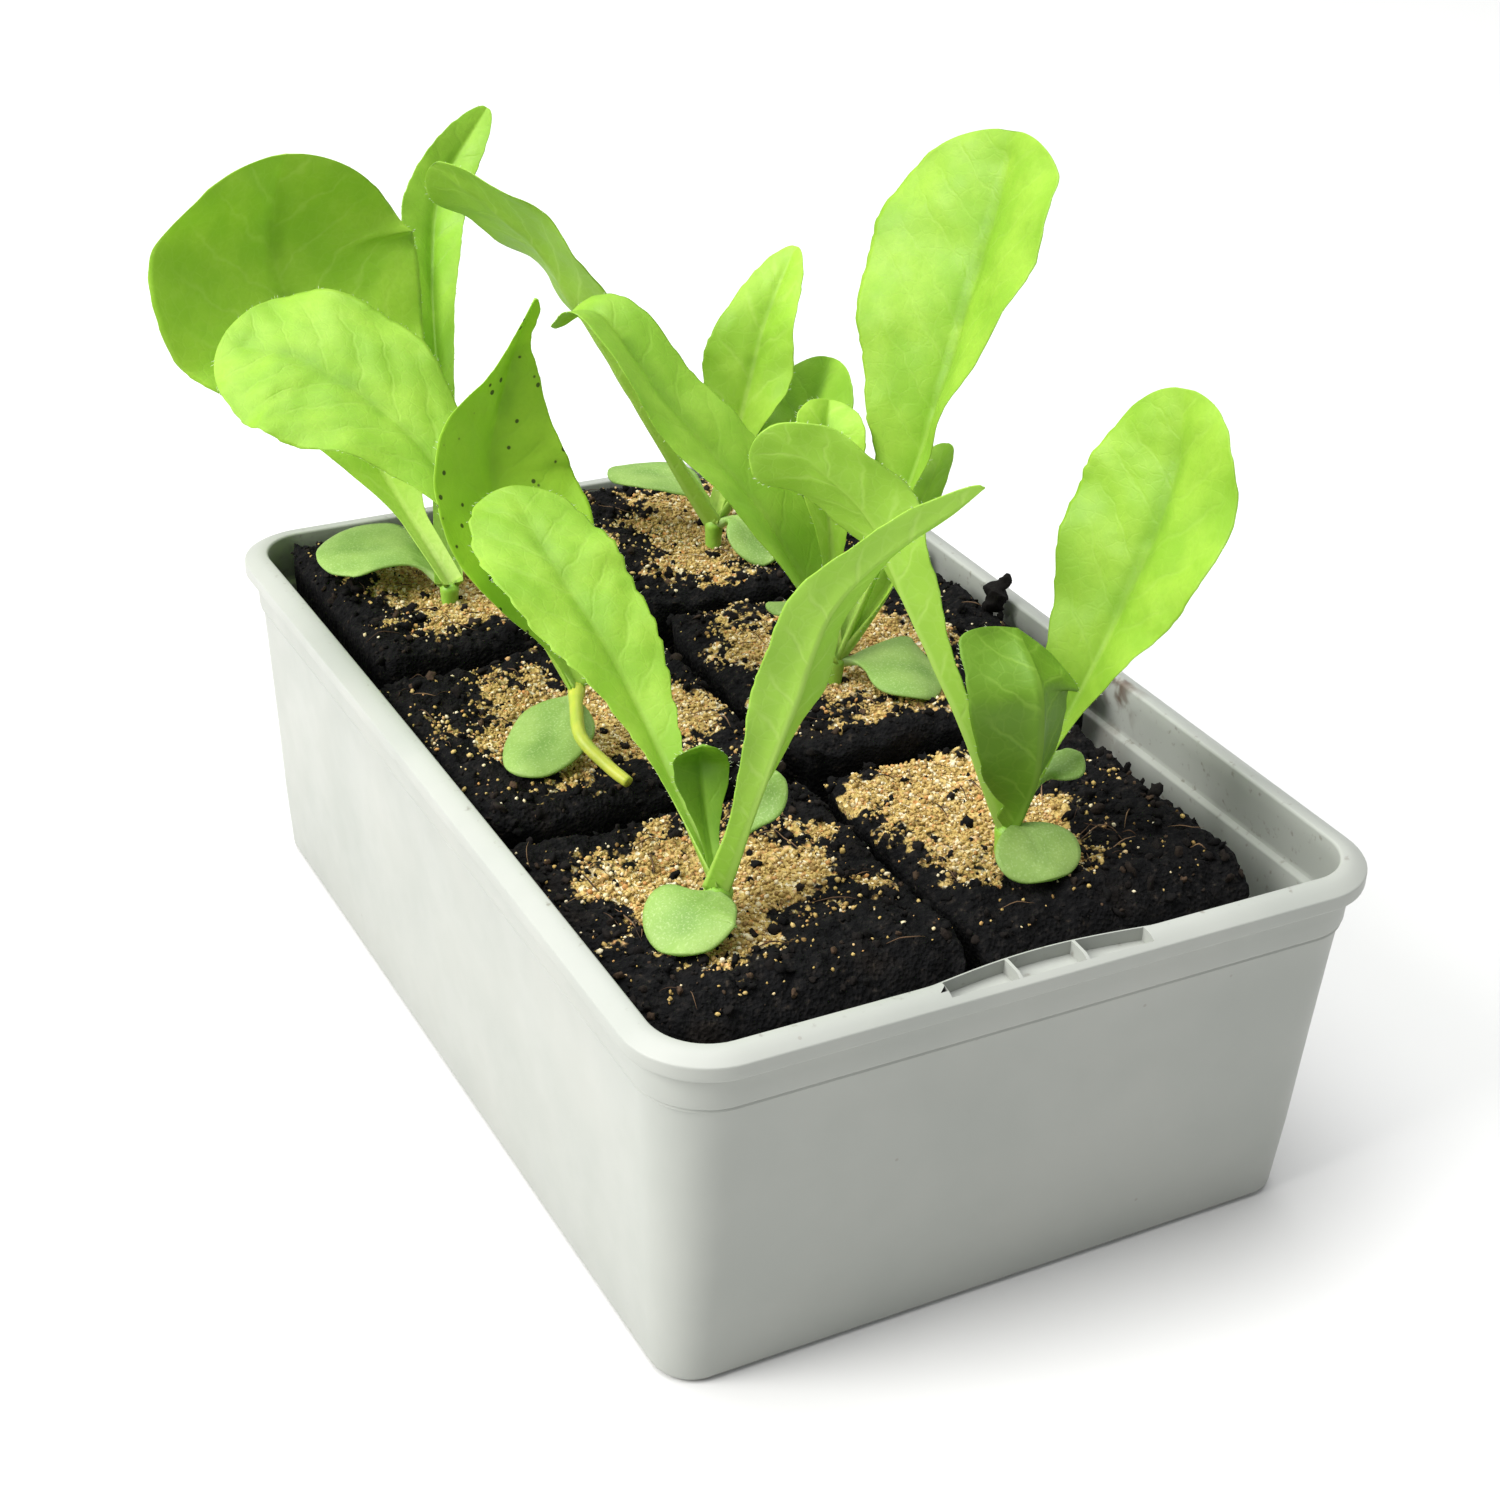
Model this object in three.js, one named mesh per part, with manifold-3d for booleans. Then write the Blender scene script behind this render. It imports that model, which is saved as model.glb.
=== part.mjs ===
// An endive seedling tray: a moulded plastic tray that holds six pressed peat blocks, each with a
// dimple of sand and one young endive plant. Millimetres, +Z up. The origin is the middle of the
// tray's underside. The short rim with the pocket is at -Y.
import * as THREE from 'three';
import { mergeVertices } from 'three/addons/utils/BufferGeometryUtils.js';
import Module from 'manifold-3d';

const wasm = await Module();
wasm.setup();

// ---- driving dimensions ------------------------------------------------------------------------
const TRAY = {
  width: 128, // over the rim, along X
  length: 188, // over the rim, along Y
  height: 64.4,
  rimWidth: 4.4, // from the rim's outer edge to the mouth
  rimDrop: 3.8, // from the rim's top to its lower edge
  rimFall: 1.2, // the rim's top slopes down by this much towards its outer edge
  cornerRadius: 13.3, // at the rim's outer edge
  bandInset: 2.2, // stacking band under the rim, measured from the rim's outer edge
  bandDrop: 6.2,
  wall: 1.5,
  ledge: 0.8, // step of the wall under the stacking band
  footInset: 6.2, // the underside is this much smaller on each side than the rim
  floor: 1.6,
  cornerSides: 6,
};
const POCKET = { from: -17.5, to: 17.5, depth: 2.6, strip: 1.3, lip: 0.6, ribs: [-5.8, 5.8], rib: 0.7 };
const GAP = 0.4; // clearance between pieces that rest on each other

// Top rectangle of each block (x from, x to, y from, y to), the height of its top, the middle of
// its dimple and the half sizes of the sand in it.
const BLOCKS = [
  { x: [-58.6, -2.7], y: [-79, -23.5], top: 60, dimple: [-31, -47], sand: [18, 15] },
  { x: [-1.5, 50.5], y: [-79, -24], top: 60, dimple: [16, -44], sand: [15, 16] },
  { x: [-58.6, -4], y: [-22, 33], top: 62.5, dimple: [-27, 4], sand: [21, 17] },
  { x: [-2, 57.8], y: [-22.5, 34], top: 63, dimple: [21, 7], sand: [17, 19] },
  { x: [-55, -4.5], y: [34.5, 87.4], top: 64.4, dimple: [-32, 57], sand: [17, 17] },
  { x: [-3, 57.8], y: [35.5, 87.4], top: 64.4, dimple: [25, 61], sand: [19, 16] },
];
const BLOCK = { sides: 20, shoulder: 5, edge: 3, dimpleDepth: 2.2, dimpleFloor: 0.6 };
const SAND = { thickness: 1.2, sides: 14 };

const LEAF_THICKNESS = 0.9;
const PETIOLE_THICKNESS = 1.6;
const STEM_RADIUS = 2.1;
const STEM_CLEARANCE = 0.6; // from the block's top to the foot of a stem

// Each leaf grows from its plant's crown towards `heading` (degrees from +X, anticlockwise).
// path: points on the midrib, [outwards, sideways, up] from the crown.
// blade: [petiole half width, blade half width, where it is widest, fullness, tip bluntness].
// roll and fold: degrees, spread evenly from base to tip.
const SEEDLINGS = [
  {
    crown: [-35, -54.5, 64],
    cotyledons: [
      {
        heading: -155,
        path: [[3, 1, 0], [8, 1, 0], [14, 4, -3]],
        blade: [0.9, 7.5, 0.6, 0.6, 2.2],
      },
      {
        heading: 25,
        path: [[6, 1, 7], [11, 0, 10], [13, 0, 15]],
        blade: [0.8, 3, 0.65, 1, 2.2],
        roll: [0, -5, 0],
      },
    ],
    leaves: [
      {
        heading: 95,
        path: [[14, 0, 11], [30, 0, 23], [47, 2, 34], [64, 1, 41]],
        blade: [2.2, 11.5, 0.75, 1, 2.2],
        roll: [0, 5, 0],
        fold: [60, 10, -5],
      },
      {
        heading: -40,
        path: [[5, -2, 16], [10, -1, 34], [16, -1, 52], [34, 0, 70]],
        blade: [2.5, 6.5, 0.55, 1, 2.2],
        roll: [-20, -50, -40],
        fold: [45, 20, 20],
      },
      {
        heading: 65,
        path: [[5, 2, 10], [7, 3, 18], [3, 3, 23]],
        blade: [1.4, 4.5, 0.6, 1, 3],
        roll: [0, 0, 5],
        fold: [40, 20, 10],
      },
    ],
  },
  {
    crown: [15.4, -56.8, 63.6],
    cotyledons: [
      {
        heading: -90,
        path: [[4, 0, 2], [9, 0, 0], [13, 0, -2]],
        blade: [1, 7.5, 0.6, 0.7, 2.2],
      },
      {
        heading: 5,
        path: [[7, 2, 7], [11, 0, 9], [13, -1, 10]],
        blade: [0.8, 3.5, 0.6, 0.9, 2.2],
      },
    ],
    leaves: [
      {
        heading: 10,
        path: [[10, 0, 16], [19, 0, 32], [26, -1, 50], [30, 2, 67]],
        blade: [2.3, 15.5, 0.7, 0.9, 2.2],
        fold: [50, 20, 5],
      },
      {
        heading: 145,
        path: [[8, 1, 17], [18, -1, 36], [27, -2, 52], [41, 2, 65]],
        blade: [2.2, 10.5, 0.8, 1.4, 2.2],
        roll: [25, 40, 65],
        fold: [50, 20, -10],
      },
      {
        heading: -80,
        path: [[7, -3, 13], [7, -4, 28], [-3, 0, 34]],
        blade: [2.7, 11.5, 0.85, 0.3, 3],
        roll: [-5, -5, 20],
        fold: [45, 25, 10],
      },
    ],
  },
  {
    crown: [-33.3, 0.7, 70.5],
    stalk: [[-34, -21, 64.4], [-35.5, -16.5, 65.4], [-37.5, -10.4, 68], [-35.5, -4, 70]],
    cotyledons: [
      {
        heading: -144,
        path: [[3, 0, -2.4], [10, 0, -4.9], [19, 0, -6.9]],
        blade: [1, 7, 0.55, 0.6, 2.2],
        from: 0.2,
      },
    ],
    leaves: [
      {
        heading: 90,
        path: [[8, 3.8, 14], [18, 7, 32], [22, 2.5, 49], [17, 0, 62]],
        blade: [1.9, 16, 0.55, 1, 1.5],
        roll: [0, 15, 15],
        fold: [40, 10, 70],
      },
      {
        heading: 120,
        path: [[16, -1, 17.5], [36, -3.5, 34], [54, 0, 44], [69, 6, 47]],
        blade: [2.1, 18.5, 0.72, 1.3, 2.2],
        roll: [-5, -5, -20],
        fold: [40, 5, -5],
      },
    ],
  },
  {
    crown: [16, 0.4, 66],
    cotyledons: [
      {
        heading: -25,
        path: [[6, 0, 0], [13, -2, 0], [19, -2, -2]],
        blade: [0.8, 9.5, 0.6, 0.8, 2.2],
        roll: [0, 5, 5],
      },
      {
        heading: 120,
        path: [[5, 0, 4], [7, -2, 7], [14, 1, 7]],
        blade: [0.9, 4, 0.6, 0.8, 2.2],
      },
    ],
    leaves: [
      {
        heading: 10,
        path: [[11, -1, 24], [18, -2, 46], [27, 0, 68], [34, 3, 88]],
        blade: [1.8, 21, 0.75, 0.9, 2.2],
        roll: [5, -5, 0],
        fold: [45, 35, 10],
      },
      {
        heading: 130,
        path: [[6, 0, 12], [17, 1, 28], [32, 2, 42], [46, 0, 55], [55, -1, 51]],
        blade: [2.8, 8.5, 0.45, 0.3, 2],
        roll: [-10, -15, 5],
        fold: [45, 15, 15],
      },
      {
        heading: 80,
        path: [[3, 1, 19], [8, 1, 34], [16, -2, 42]],
        blade: [1.3, 7, 0.75, 1.1, 2],
        fold: [40, 30, 20],
      },
      {
        heading: 0,
        path: [[10, 0, 12], [16.5, 2.6, 24], [24.5, 7.6, 34]],
        blade: [1.5, 6.5, 0.7, 1, 2],
        roll: [0, -5, 0],
        fold: [40, 25, 10],
        from: 0.3,
      },
    ],
  },
  {
    crown: [-34.8, 53.2, 66],
    cotyledons: [
      {
        heading: 135,
        path: [[9, -2, 4], [18, -1, 4], [25, 3, 3]],
        blade: [0.9, 10, 0.6, 0.8, 2.2],
        roll: [0, -5, -5],
      },
    ],
    leaves: [
      {
        heading: 105,
        path: [[18, 0, 14], [36, 1, 32], [46, 4, 50], [44, 2, 70]],
        blade: [3.2, 28, 0.7, 0.8, 2.4],
        roll: [-5, -5, 0],
        fold: [50, 5, 10],
      },
      {
        heading: 60,
        path: [[23.5, 4, 13], [42, 8, 25.5], [58, 11, 40], [67.5, 10.5, 53], [74, 2, 68]],
        blade: [3.2, 7.5, 0.72, 1.1, 1.3],
        roll: [0, 10, 0],
        fold: [35, 50, 15],
      },
    ],
  },
  {
    crown: [20.8, 56.2, 68],
    cotyledons: [
      {
        heading: 120,
        path: [[6, -1, 5], [15, -1, 6], [24, 1, 5]],
        blade: [0.9, 6.5, 0.6, 0.8, 2.2],
        roll: [0, 0, -5],
      },
      {
        heading: -70,
        path: [[5, 1, 2], [10, 0, -1], [15, 1, -3]],
        blade: [1, 4.5, 0.6, 0.8, 2.2],
      },
    ],
    leaves: [
      {
        heading: 155,
        path: [[11, 0, 17], [22, 0, 35], [34, 0, 54], [52, 0, 69]],
        blade: [2.4, 15, 0.88, 0.9, 2],
        roll: [0, 25, 35],
        fold: [45, 15, -10],
      },
      {
        heading: 30,
        path: [[6, 0, 12], [11, 0, 25], [16, 0, 37], [24, -1, 49]],
        blade: [2, 10, 0.55, 1, 1.2],
        roll: [0, 5, -10],
        fold: [40, 20, 10],
      },
      {
        heading: 0,
        path: [[10, 0, 13], [18, -2, 20], [24, 1, 30]],
        blade: [1.8, 11.5, 0.7, 1.1, 2],
        roll: [0, 5, 5],
        fold: [40, 5, 5],
        from: 0.25,
      },
    ],
  },
];

// ---- materials ---------------------------------------------------------------------------------
const material = (color, roughness) => new THREE.MeshStandardMaterial({ color, roughness, metalness: 0 });
const greyPlastic = () => material(0xb9bcb6, 0.45);
const peat = () => material(0x1e1a17, 0.95);
const tanSand = () => material(0xc3a56e, 0.9);
const leafGreen = () => material(0x8fc23a, 0.5);
const cotyledonGreen = () => material(0x8cbe69, 0.55);
const stemGreen = () => material(0xb4c850, 0.5);

// ---- mesh helpers ------------------------------------------------------------------------------
function named(name, geometry, mat) {
  const mesh = new THREE.Mesh(geometry, mat);
  mesh.name = name;
  return mesh;
}

// Closed skin over a stack of rings that all have the same number of points, capped at both ends.
function loftRings(rings) {
  const sides = rings[0].length;
  const positions = rings.flat().flatMap((p) => p);
  const index = [];
  for (let r = 0; r + 1 < rings.length; r += 1) {
    for (let s = 0; s < sides; s += 1) {
      const a = r * sides + s;
      const b = r * sides + ((s + 1) % sides);
      index.push(a, b, b + sides, a, b + sides, a + sides);
    }
  }
  const addCap = (ring, start, flip) => {
    const centre = positions.length / 3;
    for (let axis = 0; axis < 3; axis += 1) {
      positions.push(ring.reduce((sum, p) => sum + p[axis], 0) / sides);
    }
    for (let s = 0; s < sides; s += 1) {
      const a = start + s;
      const b = start + ((s + 1) % sides);
      index.push(...(flip ? [centre, b, a] : [centre, a, b]));
    }
  };
  addCap(rings[0], 0, true);
  addCap(rings[rings.length - 1], (rings.length - 1) * sides, false);
  const geometry = new THREE.BufferGeometry();
  geometry.setAttribute('position', new THREE.Float32BufferAttribute(positions, 3));
  geometry.setIndex(index);
  return geometry;
}

function toSolid(geometry) {
  const bare = geometry.clone();
  bare.deleteAttribute('normal');
  bare.deleteAttribute('uv');
  const merged = mergeVertices(bare, 1e-4);
  return new wasm.Manifold(
    new wasm.Mesh({
      numProp: 3,
      vertProperties: new Float32Array(merged.attributes.position.array),
      triVerts: new Uint32Array(merged.index.array),
    }),
  );
}

function toGeometry(solid) {
  const mesh = solid.getMesh();
  const geometry = new THREE.BufferGeometry();
  geometry.setAttribute('position', new THREE.BufferAttribute(mesh.vertProperties, 3));
  geometry.setIndex(new THREE.BufferAttribute(mesh.triVerts, 1));
  return geometry;
}

// A rounded rectangle centred on the tray, `inset` inside the rim's outer edge, at height z.
function trayRing(inset, z) {
  const radius = Math.max(TRAY.cornerRadius - inset, 2);
  const x = TRAY.width / 2 - inset - radius;
  const y = TRAY.length / 2 - inset - radius;
  const corners = [[x, -y, -90], [x, y, 0], [-x, y, 90], [-x, -y, 180]];
  const ring = [];
  for (const [cx, cy, start] of corners) {
    for (let step = 0; step <= TRAY.cornerSides; step += 1) {
      const angle = THREE.MathUtils.degToRad(start + (90 * step) / TRAY.cornerSides);
      ring.push([cx + radius * Math.cos(angle), cy + radius * Math.sin(angle), z]);
    }
  }
  return ring;
}

// ---- tray --------------------------------------------------------------------------------------
const bandBottom = TRAY.height - TRAY.rimDrop - TRAY.bandDrop;
const wallTopInset = TRAY.bandInset + TRAY.ledge;

function trayGeometry() {
  const outside = loftRings([
    trayRing(TRAY.footInset + 1.2, 0),
    trayRing(TRAY.footInset, 1.6),
    trayRing(wallTopInset, bandBottom - 0.6),
    trayRing(TRAY.bandInset + 0.1, bandBottom),
    trayRing(TRAY.bandInset, TRAY.height - TRAY.rimDrop),
    trayRing(0, TRAY.height - TRAY.rimDrop),
    trayRing(0, TRAY.height - TRAY.rimFall),
    trayRing(TRAY.rimWidth / 2, TRAY.height),
  ]);
  const inside = loftRings([
    trayRing(TRAY.footInset + TRAY.wall + 1, TRAY.floor),
    trayRing(TRAY.footInset + TRAY.wall, TRAY.floor + 1.4),
    trayRing(wallTopInset + TRAY.wall, bandBottom - 0.6),
    trayRing(TRAY.bandInset + TRAY.wall, bandBottom + 0.4),
    trayRing(TRAY.rimWidth, TRAY.height - 1),
    trayRing(TRAY.rimWidth - 0.6, TRAY.height + 1),
  ]);
  let tray = toSolid(outside).subtract(toSolid(inside));
  // The pocket in the top of the front rim is cut as one box per compartment.
  const edges = [POCKET.from, ...POCKET.ribs.flatMap((x) => [x - POCKET.rib / 2, x + POCKET.rib / 2])];
  edges.push(POCKET.to);
  const front = -TRAY.length / 2;
  for (let i = 0; i < edges.length; i += 2) {
    const depth = TRAY.rimWidth - POCKET.strip - POCKET.lip;
    const box = new THREE.BoxGeometry(edges[i + 1] - edges[i], depth, POCKET.depth * 2);
    const middle = (edges[i] + edges[i + 1]) / 2;
    box.translate(middle, front + POCKET.strip + depth / 2, TRAY.height);
    tray = tray.subtract(toSolid(box));
  }
  return toGeometry(tray);
}

// ---- peat blocks and their sand ----------------------------------------------------------------
// Half sizes of the tray's inside at height z, less the clearance.
function insideHalf(z) {
  const up = (z - TRAY.floor) / (bandBottom - TRAY.floor);
  const inset = THREE.MathUtils.lerp(TRAY.footInset, wallTopInset, Math.min(up, 1)) + TRAY.wall + GAP + 0.5;
  return [TRAY.width / 2 - inset, TRAY.length / 2 - inset];
}

function blockRing(block, z, inset) {
  const [hx, hy] = insideHalf(z);
  const x0 = Math.max(block.x[0], -hx) + inset;
  const x1 = Math.min(block.x[1], hx) - inset;
  const y0 = Math.max(block.y[0], -hy) + inset;
  const y1 = Math.min(block.y[1], hy) - inset;
  const ring = [];
  for (let s = 0; s < BLOCK.sides; s += 1) {
    const angle = (2 * Math.PI * s) / BLOCK.sides;
    const c = Math.cos(angle);
    const d = Math.sin(angle);
    const squareness = (Math.abs(c) ** 5 + Math.abs(d) ** 5) ** (-1 / 5);
    ring.push([(x0 + x1) / 2 + ((x1 - x0) / 2) * c * squareness,
      (y0 + y1) / 2 + ((y1 - y0) / 2) * d * squareness, z]);
  }
  return ring;
}

function circleRing(centre, radiusX, radiusY, z, sides) {
  const ring = [];
  for (let s = 0; s < sides; s += 1) {
    const angle = (2 * Math.PI * s) / sides;
    ring.push([centre[0] + radiusX * Math.cos(angle), centre[1] + radiusY * Math.sin(angle), z]);
  }
  return ring;
}

function blockGeometry(block) {
  const floorHalf = block.sand.map((half) => half * BLOCK.dimpleFloor);
  return loftRings([
    blockRing(block, TRAY.floor + GAP, 1.2),
    blockRing(block, TRAY.floor + GAP + 2, 0.4),
    blockRing(block, block.top - BLOCK.shoulder, 0.3),
    blockRing(block, block.top - 1.4, 1.2),
    blockRing(block, block.top, BLOCK.edge),
    circleRing(block.dimple, ...block.sand, block.top, BLOCK.sides),
    circleRing(block.dimple, ...floorHalf, block.top - BLOCK.dimpleDepth, BLOCK.sides),
  ]);
}

// A lens of sand that fills the dimple, domed a little above it.
function sandGeometry(block) {
  const [rx, ry] = block.sand;
  const low = block.top - BLOCK.dimpleDepth + GAP;
  const ring = (scale, z) => circleRing(block.dimple, rx * scale, ry * scale, z, SAND.sides);
  return loftRings([
    ring(0.52, low),
    ring(0.86, block.top - 0.3),
    ring(0.8, block.top + 0.1),
    ring(0.45, block.top - BLOCK.dimpleDepth + GAP + SAND.thickness),
  ]);
}

// ---- seedlings ---------------------------------------------------------------------------------
// Value at fraction t of a list of values spread evenly from 0 to 1.
function spread(values, t) {
  const place = t * (values.length - 1);
  const i = Math.min(Math.floor(place), values.length - 2);
  return THREE.MathUtils.lerp(values[i], values[i + 1], place - i);
}

function halfWidth([petiole, widest, peak, fullness, tip], t) {
  if (t > peak) {
    return widest * Math.sqrt(Math.max(1 - ((t - peak) / (1 - peak)) ** tip, 0));
  }
  const petioleEnd = 0.15;
  const rise = THREE.MathUtils.clamp((t - petioleEnd) / (peak - petioleEnd), 0, 1);
  return petiole + (widest - petiole) * (rise * rise * (3 - 2 * rise)) ** fullness;
}

// Frame of a leaf at fraction t: a point on the midrib, the direction across and the upper side.
function leafFrame(crown, leaf, t) {
  const heading = THREE.MathUtils.degToRad(leaf.heading);
  const out = new THREE.Vector3(Math.cos(heading), Math.sin(heading), 0);
  const side = new THREE.Vector3(-Math.sin(heading), Math.cos(heading), 0);
  const points = [[0, 0, 0], ...leaf.path].map(([along, across, up]) => new THREE.Vector3(...crown)
    .addScaledVector(out, along)
    .addScaledVector(side, across)
    .add(new THREE.Vector3(0, 0, up)));
  const curve = new THREE.CatmullRomCurve3(points, false, 'catmullrom', 0.5);
  const point = curve.getPoint(t);
  const tangent = curve.getTangent(t);
  const across = side.clone().addScaledVector(tangent, -side.dot(tangent)).normalize();
  const upper = new THREE.Vector3().crossVectors(tangent, across);
  const roll = THREE.MathUtils.degToRad(spread(leaf.roll ?? [0, 0], t));
  return {
    point,
    across: across.clone().multiplyScalar(Math.cos(roll)).addScaledVector(upper, Math.sin(roll)),
    upper: upper.clone().multiplyScalar(Math.cos(roll)).addScaledVector(across, -Math.sin(roll)),
  };
}

// A closed thin blade: each station is a ring that runs across the upper side and back under it.
function leafGeometry(crown, leaf, stations, strips, from) {
  const rings = [];
  for (let s = 0; s <= stations; s += 1) {
    const t = from + ((0.985 - from) * s) / stations;
    const { point, across, upper } = leafFrame(crown, leaf, t);
    const width = Math.max(halfWidth(leaf.blade, t), 0.6);
    const fold = THREE.MathUtils.degToRad(spread(leaf.fold ?? [10, 5, -5], t));
    const thick = THREE.MathUtils.lerp(PETIOLE_THICKNESS, LEAF_THICKNESS, Math.min(t * 3, 1));
    const ring = [];
    for (const face of [1, -1]) {
      for (let k = 0; k <= strips; k += 1) {
        const u = face * (1 - (2 * k) / strips);
        const place = point.clone()
          .addScaledVector(across, u * width * Math.cos(fold))
          .addScaledVector(upper, Math.abs(u) * width * Math.sin(fold) + (face * thick) / 2);
        ring.push(place.toArray());
      }
    }
    rings.push(ring);
  }
  return loftRings(rings);
}

function stemGeometry(seedling, bottom) {
  const [x, y, z] = seedling.crown;
  if (!seedling.stalk) {
    const ring = (radius, height) => circleRing([x, y], radius, radius, height, 8);
    return loftRings([ring(STEM_RADIUS, bottom), ring(STEM_RADIUS, z + 0.6), ring(1.2, z + 1.4)]);
  }
  const path = new THREE.CatmullRomCurve3(seedling.stalk.map((p) => new THREE.Vector3(...p)));
  const section = new THREE.Shape();
  section.absarc(0, 0, 1.2, 0, 2 * Math.PI, false);
  return new THREE.ExtrudeGeometry(section, { steps: 10, curveSegments: 4, extrudePath: path });
}

// A loose chip of peat wedged between block 4 and the right rim.
function chipGeometry() {
  const centre = [60.4, 12];
  const ring = (rx, ry, z, lean) => circleRing([centre[0] - lean, centre[1]], rx, ry, z, 8);
  return loftRings([ring(1.4, 2.4, 65, 0), ring(2, 3, 67, 0.4), ring(1.2, 1.6, 69.4, 1.4)]);
}

// ---- assembly ----------------------------------------------------------------------------------
const model = new THREE.Group();
model.add(named('tray', trayGeometry(), greyPlastic()));
BLOCKS.forEach((block, i) => {
  model.add(named(`soil_block_${i + 1}`, blockGeometry(block), peat()));
  model.add(named(`sand_cover_${i + 1}`, sandGeometry(block), tanSand()));
});
SEEDLINGS.forEach((seedling, i) => {
  const name = `seedling_${i + 1}`;
  const bottom = BLOCKS[i].top + STEM_CLEARANCE;
  model.add(named(`${name}_stem`, stemGeometry(seedling, bottom), stemGreen()));
  seedling.cotyledons.forEach((leaf, k) => {
    const geometry = leafGeometry(seedling.crown, leaf, 5, 2, leaf.from ?? 0.28);
    model.add(named(`${name}_cotyledon_${k + 1}`, geometry, cotyledonGreen()));
  });
  seedling.leaves.forEach((leaf, k) => {
    const geometry = leafGeometry(seedling.crown, leaf, 8, 4, leaf.from ?? 0.12);
    model.add(named(`${name}_leaf_${k + 1}`, geometry, leafGreen()));
  });
});
model.add(named('peat_chip', chipGeometry(), peat()));

export default model;
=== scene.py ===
import math

import bpy
import numpy as np
from mathutils import Matrix, Vector


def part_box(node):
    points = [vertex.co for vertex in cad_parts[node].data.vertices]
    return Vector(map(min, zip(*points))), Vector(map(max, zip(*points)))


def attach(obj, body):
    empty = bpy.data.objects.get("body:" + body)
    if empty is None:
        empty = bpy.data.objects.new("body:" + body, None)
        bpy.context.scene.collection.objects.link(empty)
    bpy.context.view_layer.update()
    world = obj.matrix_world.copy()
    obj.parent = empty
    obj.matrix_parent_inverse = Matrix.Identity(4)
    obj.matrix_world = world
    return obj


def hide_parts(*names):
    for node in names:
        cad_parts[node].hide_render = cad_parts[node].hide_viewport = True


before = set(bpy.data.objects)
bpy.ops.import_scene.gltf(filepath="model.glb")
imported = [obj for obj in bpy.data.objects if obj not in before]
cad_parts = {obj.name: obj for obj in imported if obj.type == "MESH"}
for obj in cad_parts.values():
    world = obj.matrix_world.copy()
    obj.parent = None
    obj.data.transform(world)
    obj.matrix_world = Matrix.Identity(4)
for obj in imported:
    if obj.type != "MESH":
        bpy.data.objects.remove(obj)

# An endive seedling tray. Lengths in this script are millimetres in the tray's frame until a mesh
# is made, which turns them into metres.
MM = 0.001
SCENE = bpy.context.scene
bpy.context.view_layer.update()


def node_box(name):
    low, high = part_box(name)
    return np.array(low) / MM, np.array(high) / MM


# ---- driving dimensions ----
BLOCK_COUNT = 6
LEAF_THICKNESS = 0.34
COTYLEDON_THICKNESS = 0.75

# One plant for each block. Each leaf has the driving dimensions of its CAD solid: heading in
# degrees from +X; path, the midrib's points [out, sideways, up] from the crown; blade, [petiole
# half width, blade half width, where it is widest, fullness, tip bluntness], or an outline of
# [share of the length, half width] for a curled leaf; roll and fold in degrees from base to tip.
# teeth is how far the teeth on a leaf's margin stand out.
LIGHT, MID, DARK = "leaf_light", "leaf_mid", "leaf_dark"
# leaf_painted_shade is the leaf green made darker: painted shade for the small front leaves that
# sit in shadow.
SPOTTED, SHADED_LEAF = "leaf_spotted", "leaf_painted_shade"


def row(heading, path, **shape):
    return dict(shape, heading=heading, path=path)


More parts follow.
